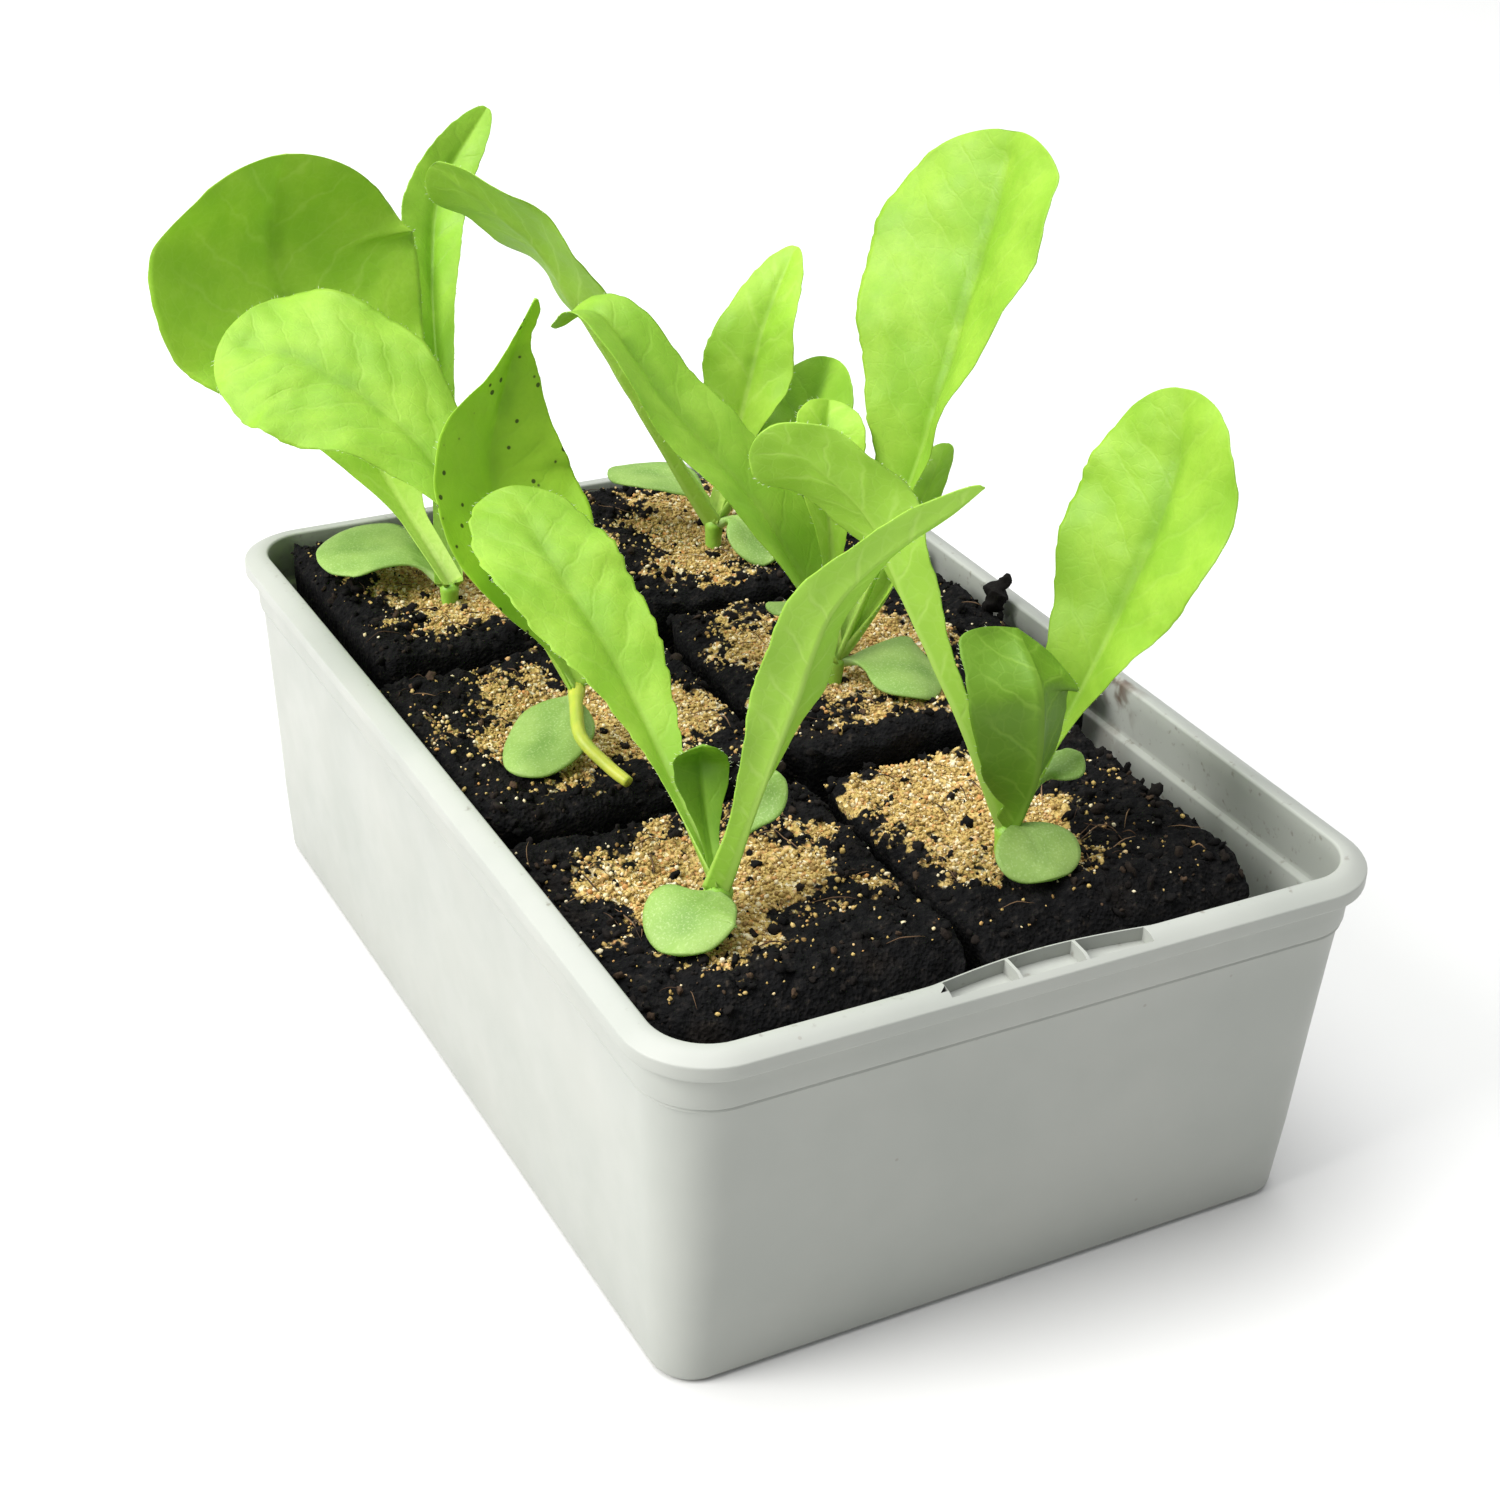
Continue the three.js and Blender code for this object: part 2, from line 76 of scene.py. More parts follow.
PLANTS = [
    {"cotyledons": [
        row(-155, [[3, 1, 0], [8, 1, 0], [14, 4, -3]], blade=[0.9, 7.5, 0.6, 0.6, 2.2]),
        row(25, [[6, 1, 7], [11, 0, 10], [13, 0, 15]], blade=[0.8, 3, 0.65, 1, 2.2],
            roll=[0, -5, 0]),
    ], "leaves": [
        row(95, [[14, 0, 11], [30, 0, 23], [47, 2, 34], [64, 1, 41]],
            blade=[2.2, 11.5, 0.75, 1, 2.7], roll=[0, 5, 0], fold=[60, 10, -5], look=LIGHT,
            teeth=0.6),
        row(-40, [[5, -2, 16], [10, -1, 34], [16, -1, 52], [34, 0, 70]],
            blade=[2.5, 6.5, 0.55, 1, 2.2], roll=[-20, -50, -40], fold=[45, 20, 20], look=LIGHT),
        row(65, [[5, 2, 10], [7, 3, 18], [3, 3, 23]], blade=[1.4, 4.5, 0.6, 1, 3], roll=[0, 0, 5],
            fold=[40, 20, 10], look=SHADED_LEAF),
    ]},
    {"cotyledons": [
        row(-90, [[4, 0, 2], [9, 0, 0], [13, 0, -2]], blade=[1, 7.5, 0.6, 0.7, 2.2]),
        row(5, [[7, 2, 7], [11, 0, 9], [13, -1, 10]], blade=[0.8, 3.5, 0.6, 0.9, 2.2]),
    ], "leaves": [
        row(10, [[10, 0, 16], [19, 0, 32], [26, -1, 50], [30, 2, 67]],
            blade=[2.3, 15.5, 0.7, 0.9, 2.2], fold=[50, 20, 5], look=LIGHT, teeth=0.3),
        row(145, [[8, 1, 17], [18, -1, 36], [27, -2, 52], [41, 2, 65]],
            blade=[2.2, 10.5, 0.8, 1.4, 3.4], roll=[25, 40, 65], fold=[50, 20, -10], look=LIGHT),
        row(-80, [[7, -3, 13], [7, -4, 28], [-3, 0, 34]], blade=[2.7, 11.5, 0.85, 0.3, 3],
            roll=[-5, -5, 20], fold=[45, 25, 10], look=SHADED_LEAF),
    ]},
    {"crown": [-33.3, 0.7, 70.5],
     "stalk": [[-34, -21, 64.4], [-35.5, -16.5, 65.4], [-37.5, -10.4, 68], [-35.5, -4, 70]],
     "cotyledons": [
        row(-144, [[3, 0, -2.4], [10, 0, -4.9], [19, 0, -6.9]], blade=[1, 7, 0.55, 0.6, 2.2]),
    ], "leaves": [
        row(90, [[8, 3.8, 14], [18, 7, 32], [22, 2.5, 49], [17, 0, 62]],
            outline=[[0, 1.9], [0.13, 2.6], [0.28, 12], [0.4, 15],
                     [0.5, 14.5], [0.62, 11], [0.7, 7.2], [0.78, 3.8], [0.84, 1.8],
                     [0.92, 1.9], [0.97, 1.5], [1, 0.2]],
            roll=[0, 15, 15], fold=[40, 10, 25], look=SPOTTED, teeth=0.15),
        row(120, [[16, -1, 17.5], [36, -3.5, 34], [54, 0, 44], [69, 6, 47]],
            blade=[2.1, 18.5, 0.72, 1.3, 2.2], roll=[-5, -5, -20], fold=[40, 5, -5], look=LIGHT,
            teeth=0.3),
    ]},
    {"cotyledons": [
        row(-25, [[6, 0, 0], [13, -2, 0], [19, -2, -2]], blade=[0.8, 9.5, 0.6, 0.8, 2.2],
            roll=[0, 5, 5]),
        row(120, [[5, 0, 4], [7, -2, 7], [14, 1, 7]], blade=[0.9, 4, 0.6, 0.8, 2.2]),
    ], "leaves": [
        row(10, [[11, -1, 24], [18, -2, 46], [27, 0, 68], [34, 3, 88]],
            blade=[1.8, 21, 0.75, 0.9, 2.2], roll=[5, -5, 0], fold=[45, 35, 10], look=LIGHT,
            teeth=0.3),
        row(130, [[6, 0, 12], [17, 1, 28], [32, 2, 42], [46, 0, 55], [55, -1, 51]],
            blade=[2.8, 8.5, 0.45, 0.3, 2], roll=[-10, -15, 5], fold=[45, 15, 15], look=MID,
            teeth=0.3),
        row(80, [[3, 1, 19], [8, 1, 34], [16, -2, 42]], blade=[1.3, 7, 0.75, 1.1, 2],
            fold=[40, 30, 20], look=DARK),
        row(0, [[10, 0, 12], [16.5, 2.6, 24], [24.5, 7.6, 34]], blade=[1.5, 6.5, 0.7, 1, 2],
            roll=[0, -5, 0], fold=[40, 25, 10], look=DARK),
    ]},
    {"cotyledons": [
        row(135, [[9, -2, 4], [18, -1, 4], [25, 3, 3]], blade=[0.9, 10, 0.6, 0.8, 2.2],
            roll=[0, -5, -5]),
    ], "leaves": [
        row(105, [[18, 0, 14], [36, 1, 32], [46, 4, 50], [44, 2, 70]],
            blade=[3.2, 28, 0.7, 0.8, 2.4], roll=[-5, -5, 0], fold=[50, 5, 10], look=DARK),
        row(60, [[23.5, 4, 13], [42, 8, 25.5], [58, 11, 40], [67.5, 10.5, 53], [74, 2, 68]],
            blade=[3.2, 7.5, 0.72, 1.1, 1.3], roll=[0, 10, 0], fold=[35, 50, 15], look=MID),
    ]},
    {"cotyledons": [
        row(120, [[6, -1, 5], [15, -1, 6], [24, 1, 5]], blade=[0.9, 6.5, 0.6, 0.8, 2.2],
            roll=[0, 0, -5]),
        row(-70, [[5, 1, 2], [10, 0, -1], [15, 1, -3]], blade=[1, 4.5, 0.6, 0.8, 2.2]),
    ], "leaves": [
        row(155, [[11, 0, 17], [22, 0, 35], [34, 0, 54], [52, 0, 69]],
            blade=[2.4, 15, 0.88, 0.9, 2], roll=[0, 25, 35], fold=[45, 15, -10], look=MID),
        row(30, [[6, 0, 12], [11, 0, 25], [16, 0, 37], [24, -1, 49]], blade=[2, 10, 0.55, 1, 1.2],
            roll=[0, 5, -10], fold=[40, 20, 10], look=DARK, teeth=0.3),
        row(0, [[10, 0, 13], [18, -2, 20], [24, 1, 30]], blade=[1.8, 11.5, 0.7, 1.1, 2],
            roll=[0, 5, 5], fold=[40, 5, 5], look=MID),
    ]},
]


# ---- noise ----
def lattice(ix, iy, iz, seed):
    """A repeatable random value from -1 to 1 for each lattice point."""
    h = (ix * 374761393 + iy * 668265263 + iz * 1440662683 + seed * 974634777) & 0xFFFFFFFF
    h = ((h ^ (h >> 13)) * 1274126177) & 0xFFFFFFFF
    return ((h ^ (h >> 16)) & 0xFFFF) / 32767.5 - 1.0


def value_noise(p, seed):
    cell = np.floor(p).astype(np.int64)
    f = p - cell
    f = f * f * (3 - 2 * f)
    total = np.zeros(p.shape[:-1])
    for corner in range(8):
        step = [corner & 1, (corner >> 1) & 1, corner >> 2]
        weight = np.ones(p.shape[:-1])
        for axis in range(3):
            weight = weight * (f[..., axis] if step[axis] else 1 - f[..., axis])
        total += weight * lattice(*(cell[..., axis] + step[axis] for axis in range(3)), seed)
    return total


def fbm(p, size, octaves, seed):
    total = np.zeros(p.shape[:-1])
    for k in range(octaves):
        total += value_noise(p * (2 ** k / size), seed + k) / 2 ** k
    return total


def flat(x, y):
    return np.stack([x, y, np.zeros_like(x)], axis=-1)


def clods(x, y, size, seed):
    """Rounded lumps packed side by side: 1 in the middle of each, 0 between them."""
    cx, cy = np.floor(x / size).astype(np.int64), np.floor(y / size).astype(np.int64)
    best = np.full(x.shape, 9.0)
    for dx in (-1, 0, 1):
        for dy in (-1, 0, 1):
            ix, iy = cx + dx, cy + dy
            px = ix + 0.5 + 0.42 * lattice(ix, iy, iy * 0, seed)
            py = iy + 0.5 + 0.42 * lattice(ix, iy, iy * 0 + 7, seed)
            best = np.minimum(best, (x / size - px) ** 2 + (y / size - py) ** 2)
    return np.clip(1 - best * 1.6, 0, 1)


def smoothstep(low, high, x):
    a = np.clip((x - low) / (high - low), 0, 1)
    return a * a * (3 - 2 * a)


# ---- mesh helpers ----
def add_attributes(mesh, attributes):
    for key, values in attributes.items():
        values = np.asarray(values, dtype=np.float32)
        kind, field = ("FLOAT_VECTOR", "vector") if values.ndim == 2 else ("FLOAT", "value")
        mesh.attributes.new(key, kind, "POINT").data.foreach_set(field, values.ravel())


def make_object(name, verts, faces, materials, face_material=None, attributes=None, smooth=True):
    mesh = bpy.data.meshes.new(name)
    mesh.from_pydata((np.asarray(verts) * MM).tolist(), [], faces)
    for material in materials:
        mesh.materials.append(material)
    if face_material is not None:
        mesh.polygons.foreach_set("material_index", np.asarray(face_material, dtype=np.int32))
    add_attributes(mesh, attributes or {})
    mesh.polygons.foreach_set("use_smooth", [smooth] * len(mesh.polygons))
    mesh.update()
    obj = bpy.data.objects.new(name, mesh)
    SCENE.collection.objects.link(obj)
    return obj


class Soup:
    """Collects many small pieces into one mesh."""

    def __init__(self):
        self.verts, self.faces, self.slots, self.count = [], [], [], 0

    def add(self, verts, faces, slot=0):
        self.verts.append(np.asarray(verts, dtype=float))
        self.faces.extend([[i + self.count for i in face] for face in faces])
        self.slots.extend([slot] * len(faces))
        self.count += len(verts)

    def object(self, name, materials, **options):
        verts = np.concatenate(self.verts)
        return make_object(name, verts, self.faces, materials, self.slots, **options)


def loft(rings):
    """Quads between rings (rings x sides x 3) closed round, and a fan at each end."""
    count, sides = rings.shape[:2]
    faces = []
    for r in range(count - 1):
        for s in range(sides):
            a, b = r * sides + s, r * sides + (s + 1) % sides
            faces.append([a, b, b + sides, a + sides])
    verts = list(rings.reshape(-1, 3))
    for ring, start, flip in ((rings[0], 0, True), (rings[-1], (count - 1) * sides, False)):
        middle = len(verts)
        verts.append(ring.mean(axis=0))
        for s in range(sides):
            a, b = start + s, start + (s + 1) % sides
            faces.append([middle, b, a] if flip else [middle, a, b])
    return np.array(verts), faces


GOLDEN = (1 + math.sqrt(5)) / 2
ICO_VERTS = np.array([[-1, GOLDEN, 0], [1, GOLDEN, 0], [-1, -GOLDEN, 0], [1, -GOLDEN, 0],
                      [0, -1, GOLDEN], [0, 1, GOLDEN], [0, -1, -GOLDEN], [0, 1, -GOLDEN],
                      [GOLDEN, 0, -1], [GOLDEN, 0, 1], [-GOLDEN, 0, -1], [-GOLDEN, 0, 1]])
ICO_VERTS /= np.linalg.norm(ICO_VERTS[0])
ICO_FACES = [[0, 11, 5], [0, 5, 1], [0, 1, 7], [0, 7, 10], [0, 10, 11], [1, 5, 9], [5, 11, 4],
             [11, 10, 2], [10, 7, 6], [7, 1, 8], [3, 9, 4], [3, 4, 2], [3, 2, 6], [3, 6, 8],
             [3, 8, 9], [4, 9, 5], [2, 4, 11], [6, 2, 10], [8, 6, 7], [9, 8, 1]]


def subdivide(verts, faces):
    verts, out, made = [tuple(v) for v in verts], [], {}

    def middle(a, b):
        key = (min(a, b), max(a, b))
        if key not in made:
            m = (np.array(verts[a]) + np.array(verts[b])) / 2
            made[key] = len(verts)
            verts.append(tuple(m / np.linalg.norm(m)))
        return made[key]

    for a, b, c in faces:
        ab, bc, ca = middle(a, b), middle(b, c), middle(c, a)
        out += [[a, ab, ca], [b, bc, ab], [c, ca, bc], [ab, bc, ca]]
    return np.array(verts), out


BALL_VERTS, BALL_FACES = subdivide(ICO_VERTS, ICO_FACES)


def lump(rng, centre, size, squash=0.75, fine=False, rough=0.22):
    """A small stone or crumb: a ball with uneven axes, turned at random."""
    base = BALL_VERTS if fine else ICO_VERTS
    axes = size * (1 + rng.uniform(-0.3, 0.3, 3)) * [1, 1, squash]
    verts = base * axes * (1 + rng.uniform(-rough, rough, (len(base), 1)))
    turn = rng.normal(size=4)
    turn /= np.linalg.norm(turn)
    w, x, y, z = turn
    matrix = np.array([[1 - 2 * (y * y + z * z), 2 * (x * y - z * w), 2 * (x * z + y * w)],
                       [2 * (x * y + z * w), 1 - 2 * (x * x + z * z), 2 * (y * z - x * w)],
                       [2 * (x * z - y * w), 2 * (y * z + x * w), 1 - 2 * (x * x + y * y)]])
    return verts @ matrix.T + centre, BALL_FACES if fine else ICO_FACES


def tube(points, radii, sides):
    """A closed tube along points."""
    points = np.asarray(points, dtype=float)
    tangent = np.gradient(points, axis=0)
    tangent /= np.linalg.norm(tangent, axis=1, keepdims=True)
    guide = np.array([0.31, 0.17, 0.94]) if abs(tangent[0][2]) < 0.8 else np.array([0.9, 0.2, 0.1])
    rings = []
    for point, direction, radius in zip(points, tangent, radii):
        side = np.cross(guide, direction)
        side /= np.linalg.norm(side)
        other = np.cross(direction, side)
        angle = np.arange(sides) * 2 * math.pi / sides
        spokes = np.cos(angle)[:, None] * side + np.sin(angle)[:, None] * other
        rings.append(point + radius * spokes)
    return loft(np.array(rings))


# ---- node helpers ----
class Nodes:
    """A short way to write a material's node tree. Colours of three parts are sRGB bytes."""

    def __init__(self, name, roughness, specular=0.5):
        self.material = bpy.data.materials.new(name)
        self.material.use_nodes = True
        self.tree = self.material.node_tree
        self.shader = self.tree.nodes["Principled BSDF"]
        self.shader.inputs["Roughness"].default_value = roughness
        self.shader.inputs["Specular IOR Level"].default_value = specular

    def feed(self, socket, value):
        if isinstance(value, bpy.types.NodeSocket):
            self.tree.links.new(value, socket)
        elif isinstance(value, tuple) and len(value) == 3 and socket.type == "RGBA":
            socket.default_value = (*srgb(*value), 1)
        else:
            socket.default_value = value

    def node(self, kind, output=0, settings=None, **inputs):
        node = self.tree.nodes.new(kind)
        for key, value in (settings or {}).items():
            setattr(node, key, value)
        for key, value in inputs.items():
            numbered = key[0] == "i" and key[1:].isdigit()
            self.feed(node.inputs[int(key[1:]) if numbered else key.replace("_", " ")], value)
        return node.outputs[output]

    def math(self, operation, a, b=0.0, clamp=False):
        settings = {"operation": operation, "use_clamp": clamp}
        return self.node("ShaderNodeMath", settings=settings, i0=a, i1=b)

    def times(self, a, b):
        return self.math("MULTIPLY", a, b)

    def minus(self, a, b):
        return self.math("SUBTRACT", a, b)

    def mix(self, factor, a, b, blend="MIX"):
        node = self.tree.nodes.new("ShaderNodeMix")
        node.data_type = "RGBA"
        node.blend_type = blend
        self.feed(node.inputs[0], factor)
        self.feed(node.inputs[6], a)
        self.feed(node.inputs[7], b)
        return node.outputs[2]

    def step(self, value, low, high, to_low=0.0, to_high=1.0):
        node = self.tree.nodes.new("ShaderNodeMapRange")
        node.interpolation_type = "SMOOTHSTEP"
        for socket, v in zip(node.inputs, (value, low, high, to_low, to_high)):
            self.feed(socket, v)
        return node.outputs[0]

    def position(self):
        return self.node("ShaderNodeTexCoord", "Object")

    def noise(self, size_mm, detail=3.0, distortion=0.0):
        return self.node("ShaderNodeTexNoise", Vector=self.position(), Scale=1 / (size_mm * MM),
                         Detail=detail, Distortion=distortion)

    def voronoi(self, size_mm, output=0):
        return self.node("ShaderNodeTexVoronoi", output, Vector=self.position(),
                         Scale=1 / (size_mm * MM))

    def island(self):
        """A random value for each loose piece of the mesh."""
        return self.node("ShaderNodeNewGeometry", "Random Per Island")

    def attribute(self, name, output="Fac"):
        return self.node("ShaderNodeAttribute", output, settings={"attribute_name": name})

    def ramp(self, factor, stops):
        node = self.tree.nodes.new("ShaderNodeValToRGB")
        while len(node.color_ramp.elements) < len(stops):
            node.color_ramp.elements.new(0.5)
        for element, (place, colour) in zip(node.color_ramp.elements, stops):
            element.position = place
            element.color = (*srgb(*colour), 1)
        self.feed(node.inputs[0], factor)
        return node.outputs[0]

    def bump(self, height, distance_mm, strength=1.0, normal=None):
        inputs = {"Height": height, "Strength": strength, "Distance": distance_mm * MM}
        if normal is not None:
            inputs["Normal"] = normal
        return self.node("ShaderNodeBump", **inputs)

    def finish(self, colour, normal=None, roughness=None):
        self.feed(self.shader.inputs["Base Color"], colour)
        if normal is not None:
            self.feed(self.shader.inputs["Normal"], normal)
        if roughness is not None:
            self.feed(self.shader.inputs["Roughness"], roughness)
        return self.material


def srgb(*colour):
    """A linear colour from sRGB bytes."""
    shares = [c / 255 for c in colour]
    return tuple(c / 12.92 if c <= 0.04045 else ((c + 0.055) / 1.055) ** 2.4 for c in shares)


# ---- materials ----
def plastic_material():
    n = Nodes("grey_plastic", 0.42, 0.4)
    colour = n.mix(n.step(n.noise(30, 4), 0.3, 0.7), (156, 159, 153), (163, 165, 159))
    fleck = n.step(n.voronoi(11.0), 0.035, 0.02)
    colour = n.mix(n.times(fleck, 0.35), colour, (120, 112, 98))
    smear = n.step(n.noise(5, 5, distortion=0.6), 0.42, 0.62)
    mud = n.math("MULTIPLY", n.attribute("mud"), smear, clamp=True)
    colour = n.mix(n.times(mud, 0.85), colour, (84, 66, 52))
    dust = n.times(n.step(n.noise(1.6, 4), 0.6, 0.76), n.attribute("inside"))
    colour = n.mix(n.times(dust, 0.5), colour, (92, 80, 66))
    roughness = n.step(n.noise(14, 4), 0.3, 0.7, 0.36, 0.5)
    normal = n.bump(n.noise(0.9, 2), 0.03, 0.35)
    normal = n.bump(n.noise(38, 2), 0.5, 0.5, normal)
    return n.finish(colour, normal, roughness)


def peat_material():
    n = Nodes("peat", 0.95, 0.12)
    grain = n.noise(1.3, 5)
    colour = n.ramp(grain, [(0.3, (8, 8, 9)), (0.52, (15, 15, 16)), (0.66, (28, 26, 25)),
                            (0.8, (62, 54, 45))])
    patch = n.step(n.noise(9, 3), 0.55, 0.75)
    colour = n.mix(n.times(patch, 0.22), colour, (44, 36, 29))
    ragged = n.times(n.minus(n.noise(2.2, 4), 0.5), 1.5)
    sandy = n.step(n.math("ADD", n.attribute("sand"), ragged), 0.4, 0.58)
    grit = n.voronoi(0.7, output="Color")
    tan = n.ramp(n.node("ShaderNodeSeparateColor", 0, i0=grit), SAND_STOPS)
    colour = n.mix(sandy, colour, tan)
    fine = n.bump(n.noise(0.5, 4), 0.3, 0.9)
    pebbly = n.bump(n.voronoi(0.7), 0.5, 0.8, fine)
    return n.finish(colour, pebbly)


def crumb_material():
    n = Nodes("peat_crumb", 0.92, 0.15)
    colour = n.ramp(n.island(), [(0.0, (8, 8, 9)), (0.5, (16, 15, 15)), (0.8, (28, 24, 22)),
                             (0.93, (46, 38, 32)), (1.0, (84, 66, 50))])
    colour = n.mix(n.step(n.noise(0.8, 4), 0.35, 0.7, 0.0, 0.5), colour, (18, 15, 13))
    return n.finish(colour, n.bump(n.noise(0.4, 4), 0.2, 0.9))


SAND_STOPS = [(0.0, (108, 82, 44)), (0.12, (156, 130, 74)), (0.4, (186, 160, 94)),
              (0.68, (198, 174, 114)), (0.78, (184, 130, 74)), (0.86, (214, 198, 154)),
              (1.0, (230, 220, 192))]


def sand_material():
    n = Nodes("sand", 0.7, 0.3)
    colour = n.ramp(n.island(), SAND_STOPS)
    colour = n.mix(n.step(n.noise(0.5, 3), 0.35, 0.7, 0.0, 0.3), colour, (176, 138, 74))
    return n.finish(colour, n.bump(n.noise(0.25, 3), 0.06, 0.6))


def fibre_material():
    n = Nodes("peat_fibre", 0.85, 0.2)
    colour = n.ramp(n.island(), [(0.0, (44, 32, 24)), (0.5, (78, 58, 42)), (1.0, (128, 102, 76))])
    return n.finish(colour, n.bump(n.noise(0.6, 2), 0.1, 0.5))


THROUGH = 0.38  # share of a leaf's colour that comes from light on its other side
THROUGH_TINT = (1.0, 1.0, 0.55, 1.0)
# Side veins: distance between them, how far they slant forward, and how far the two sides differ.
VEIN_SPACING, VEIN_SLANT, VEIN_SHIFT = 7.5, 0.95, 0.23


def leaf_material(name, bright, deep, vein, under, vein_strength, specks=0.0,
                  spacing=VEIN_SPACING, grain=0.0):
    n = Nodes(name, 0.5, 0.38)
    co = n.node("ShaderNodeSeparateXYZ", 0, i0=n.attribute("leaf_co", "Vector")).node
    mm = n.node("ShaderNodeSeparateXYZ", 0, i0=n.attribute("leaf_mm", "Vector")).node
    across, along, face = co.outputs
    x_mm, y_mm = mm.outputs[0], mm.outputs[1]
    flat_vector = n.node("ShaderNodeCombineXYZ", 0, i0=x_mm, i1=y_mm)
    wobble = n.node("ShaderNodeTexNoise", 0, Vector=flat_vector, Scale=0.16, Detail=3.0)
    x_abs = n.math("ABSOLUTE", x_mm)
    side = n.times(n.math("SIGN", x_mm), VEIN_SHIFT)
    # Side veins leave the midrib at a slant and bend towards the tip.
    slanted = n.minus(y_mm, n.times(x_abs, VEIN_SLANT))
    run = n.math("DIVIDE", slanted, spacing)
    run = n.math("ADD", n.math("ADD", run, side), n.times(wobble, 0.8))
    near = n.math("ABSOLUTE", n.minus(n.math("FRACT", run), 0.5))
    side_vein = n.step(near, 0.1, 0.0)
    side_vein = n.times(side_vein, n.step(n.math("ABSOLUTE", across), 0.98, 0.55))
    rib_half = n.times(n.minus(1.0, along), 0.9)
    midrib = n.step(n.minus(x_abs, rib_half), 0.45, -0.15)
    midrib = n.times(midrib, n.step(along, 0.95, 0.3, 0.35, 1.0))
    net_noise = n.node("ShaderNodeTexNoise", "Color", Vector=flat_vector, Scale=0.5)
    net_vector = n.node("ShaderNodeVectorMath", settings={"operation": "ADD"}, i0=flat_vector,
                        i1=net_noise)
    net = n.node("ShaderNodeTexVoronoi", "Distance", settings={"feature": "DISTANCE_TO_EDGE"},
                 Vector=net_vector, Scale=0.42)
    net_mask = n.step(net, 0.1, 0.0)
    veins = n.math("MAXIMUM", n.math("MAXIMUM", midrib, n.times(side_vein, 0.8)),
                   n.times(net_mask, 0.28))
    cloud = n.step(n.noise(9, 4), 0.32, 0.68)
    base = n.mix(cloud, deep, bright)
    petiole = n.step(along, 0.3, 0.05)
    base = n.mix(n.times(petiole, 0.55), base, vein)
    colour = n.mix(n.times(veins, vein_strength), base, vein)
    # Along the upper midrib the blade is darker, in a soft uneven streak.
    streak = n.times(n.step(x_abs, 3.4, 0.2), n.step(along, 0.35, 0.65))
    streak = n.times(streak, n.step(along, 0.96, 0.8))
    streak = n.times(streak, n.step(n.noise(5, 4), 0.3, 0.6, 0.1, 0.7))
    colour = n.mix(streak, colour, n.mix(0.35, deep, (60, 110, 24)))
    mottled = n.mix(n.times(n.step(n.noise(0.8, 3), 0.4, 0.7), 0.3), colour, deep)
    below = n.mix(n.times(veins, 0.5), under, vein)
    colour = n.mix(face, below, mottled)
    if grain:
        grains = n.step(n.noise(0.35, 2), 0.5, 0.72)
        colour = n.mix(n.times(grains, grain), colour, vein)
    if specks:
        dots = n.step(n.voronoi(3.0), 0.17, 0.12)
        colour = n.mix(n.times(dots, specks), colour, (34, 40, 14))
    height = n.minus(n.times(n.noise(3.5, 3), 0.8), n.times(veins, 0.5))
    normal = n.bump(height, 0.22, 0.45)
    normal = n.bump(n.noise(0.35, 2), 0.04, 0.5, normal)
    roughness = n.step(n.noise(6, 3), 0.3, 0.7, 0.44, 0.58)
    material = n.finish(colour, normal, roughness)
    # Part of the light falls through the thin blade.
    through = n.mix(1.0, colour, THROUGH_TINT, "MULTIPLY")
    glow = n.node("ShaderNodeBsdfTranslucent", Color=through, Normal=normal)
    both = n.node("ShaderNodeMixShader", i0=THROUGH, i1=n.shader.outputs[0], i2=glow)
    n.feed(n.tree.nodes["Material Output"].inputs["Surface"], both)
    return material


def plain_material(name, colour_a, colour_b, size_mm, roughness, subsurface, bump_mm=0.1):
    n = Nodes(name, roughness, 0.35)
    cloud = n.step(n.noise(size_mm, 4), 0.35, 0.65)
    colour = n.mix(cloud, colour_a, colour_b)
    n.shader.inputs["Subsurface Weight"].default_value = subsurface
    n.shader.inputs["Subsurface Radius"].default_value = (0.8, 1.0, 0.3)
    n.shader.inputs["Subsurface Scale"].default_value = 0.8 * MM
    return n.finish(colour, n.bump(n.noise(size_mm / 2, 3), bump_mm, 0.5))


PLASTIC = plastic_material()
PEAT = peat_material()
CRUMB = crumb_material()
SAND = sand_material()
FIBRE = fibre_material()
VEIN, UNDER = (204, 232, 128), (174, 216, 84)
LEAF_LOOKS = {name: leaf_material(name, *look[:5], **look[5]) for name, look in {
    LIGHT: [(163, 202, 68), (144, 189, 54), VEIN, UNDER, 0.12, {}],
    MID: [(160, 202, 68), (142, 190, 54), (190, 220, 114), (160, 200, 74), 0.12, {}],
    DARK: [(176, 216, 74), (158, 204, 60), (216, 236, 136), (166, 206, 78), 0.24, {"spacing": 10}],
    SPOTTED: [(170, 214, 58), (156, 204, 50), (188, 222, 104), (166, 206, 78), 0.08,
              {"specks": 0.85}],
    # A darker copy of the leaf green, painted shade for leaves that sit in shadow.
    SHADED_LEAF: [(126, 170, 40), (106, 152, 32), (160, 200, 80), (118, 162, 44), 0.16, {}],
}.items()}
COTYLEDON = leaf_material("cotyledon_green", (170, 202, 110), (144, 182, 90), (206, 228, 160),
                          (168, 206, 118), 0.08, grain=0.4, spacing=30)
STEM = plain_material("stem_green", (150, 194, 76), (128, 176, 54), 3, 0.45, 0.4)
STALK = plain_material("stalk_yellow", (186, 190, 70), (164, 180, 66), 4, 0.45, 0.4)
HAIR = plain_material("leaf_hair", (232, 244, 200), (214, 234, 170), 1, 0.4, 0.3, 0.01)


def finish_piece(piece, slot_name, *nodes):
    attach(piece, "root")
    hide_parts(*nodes)


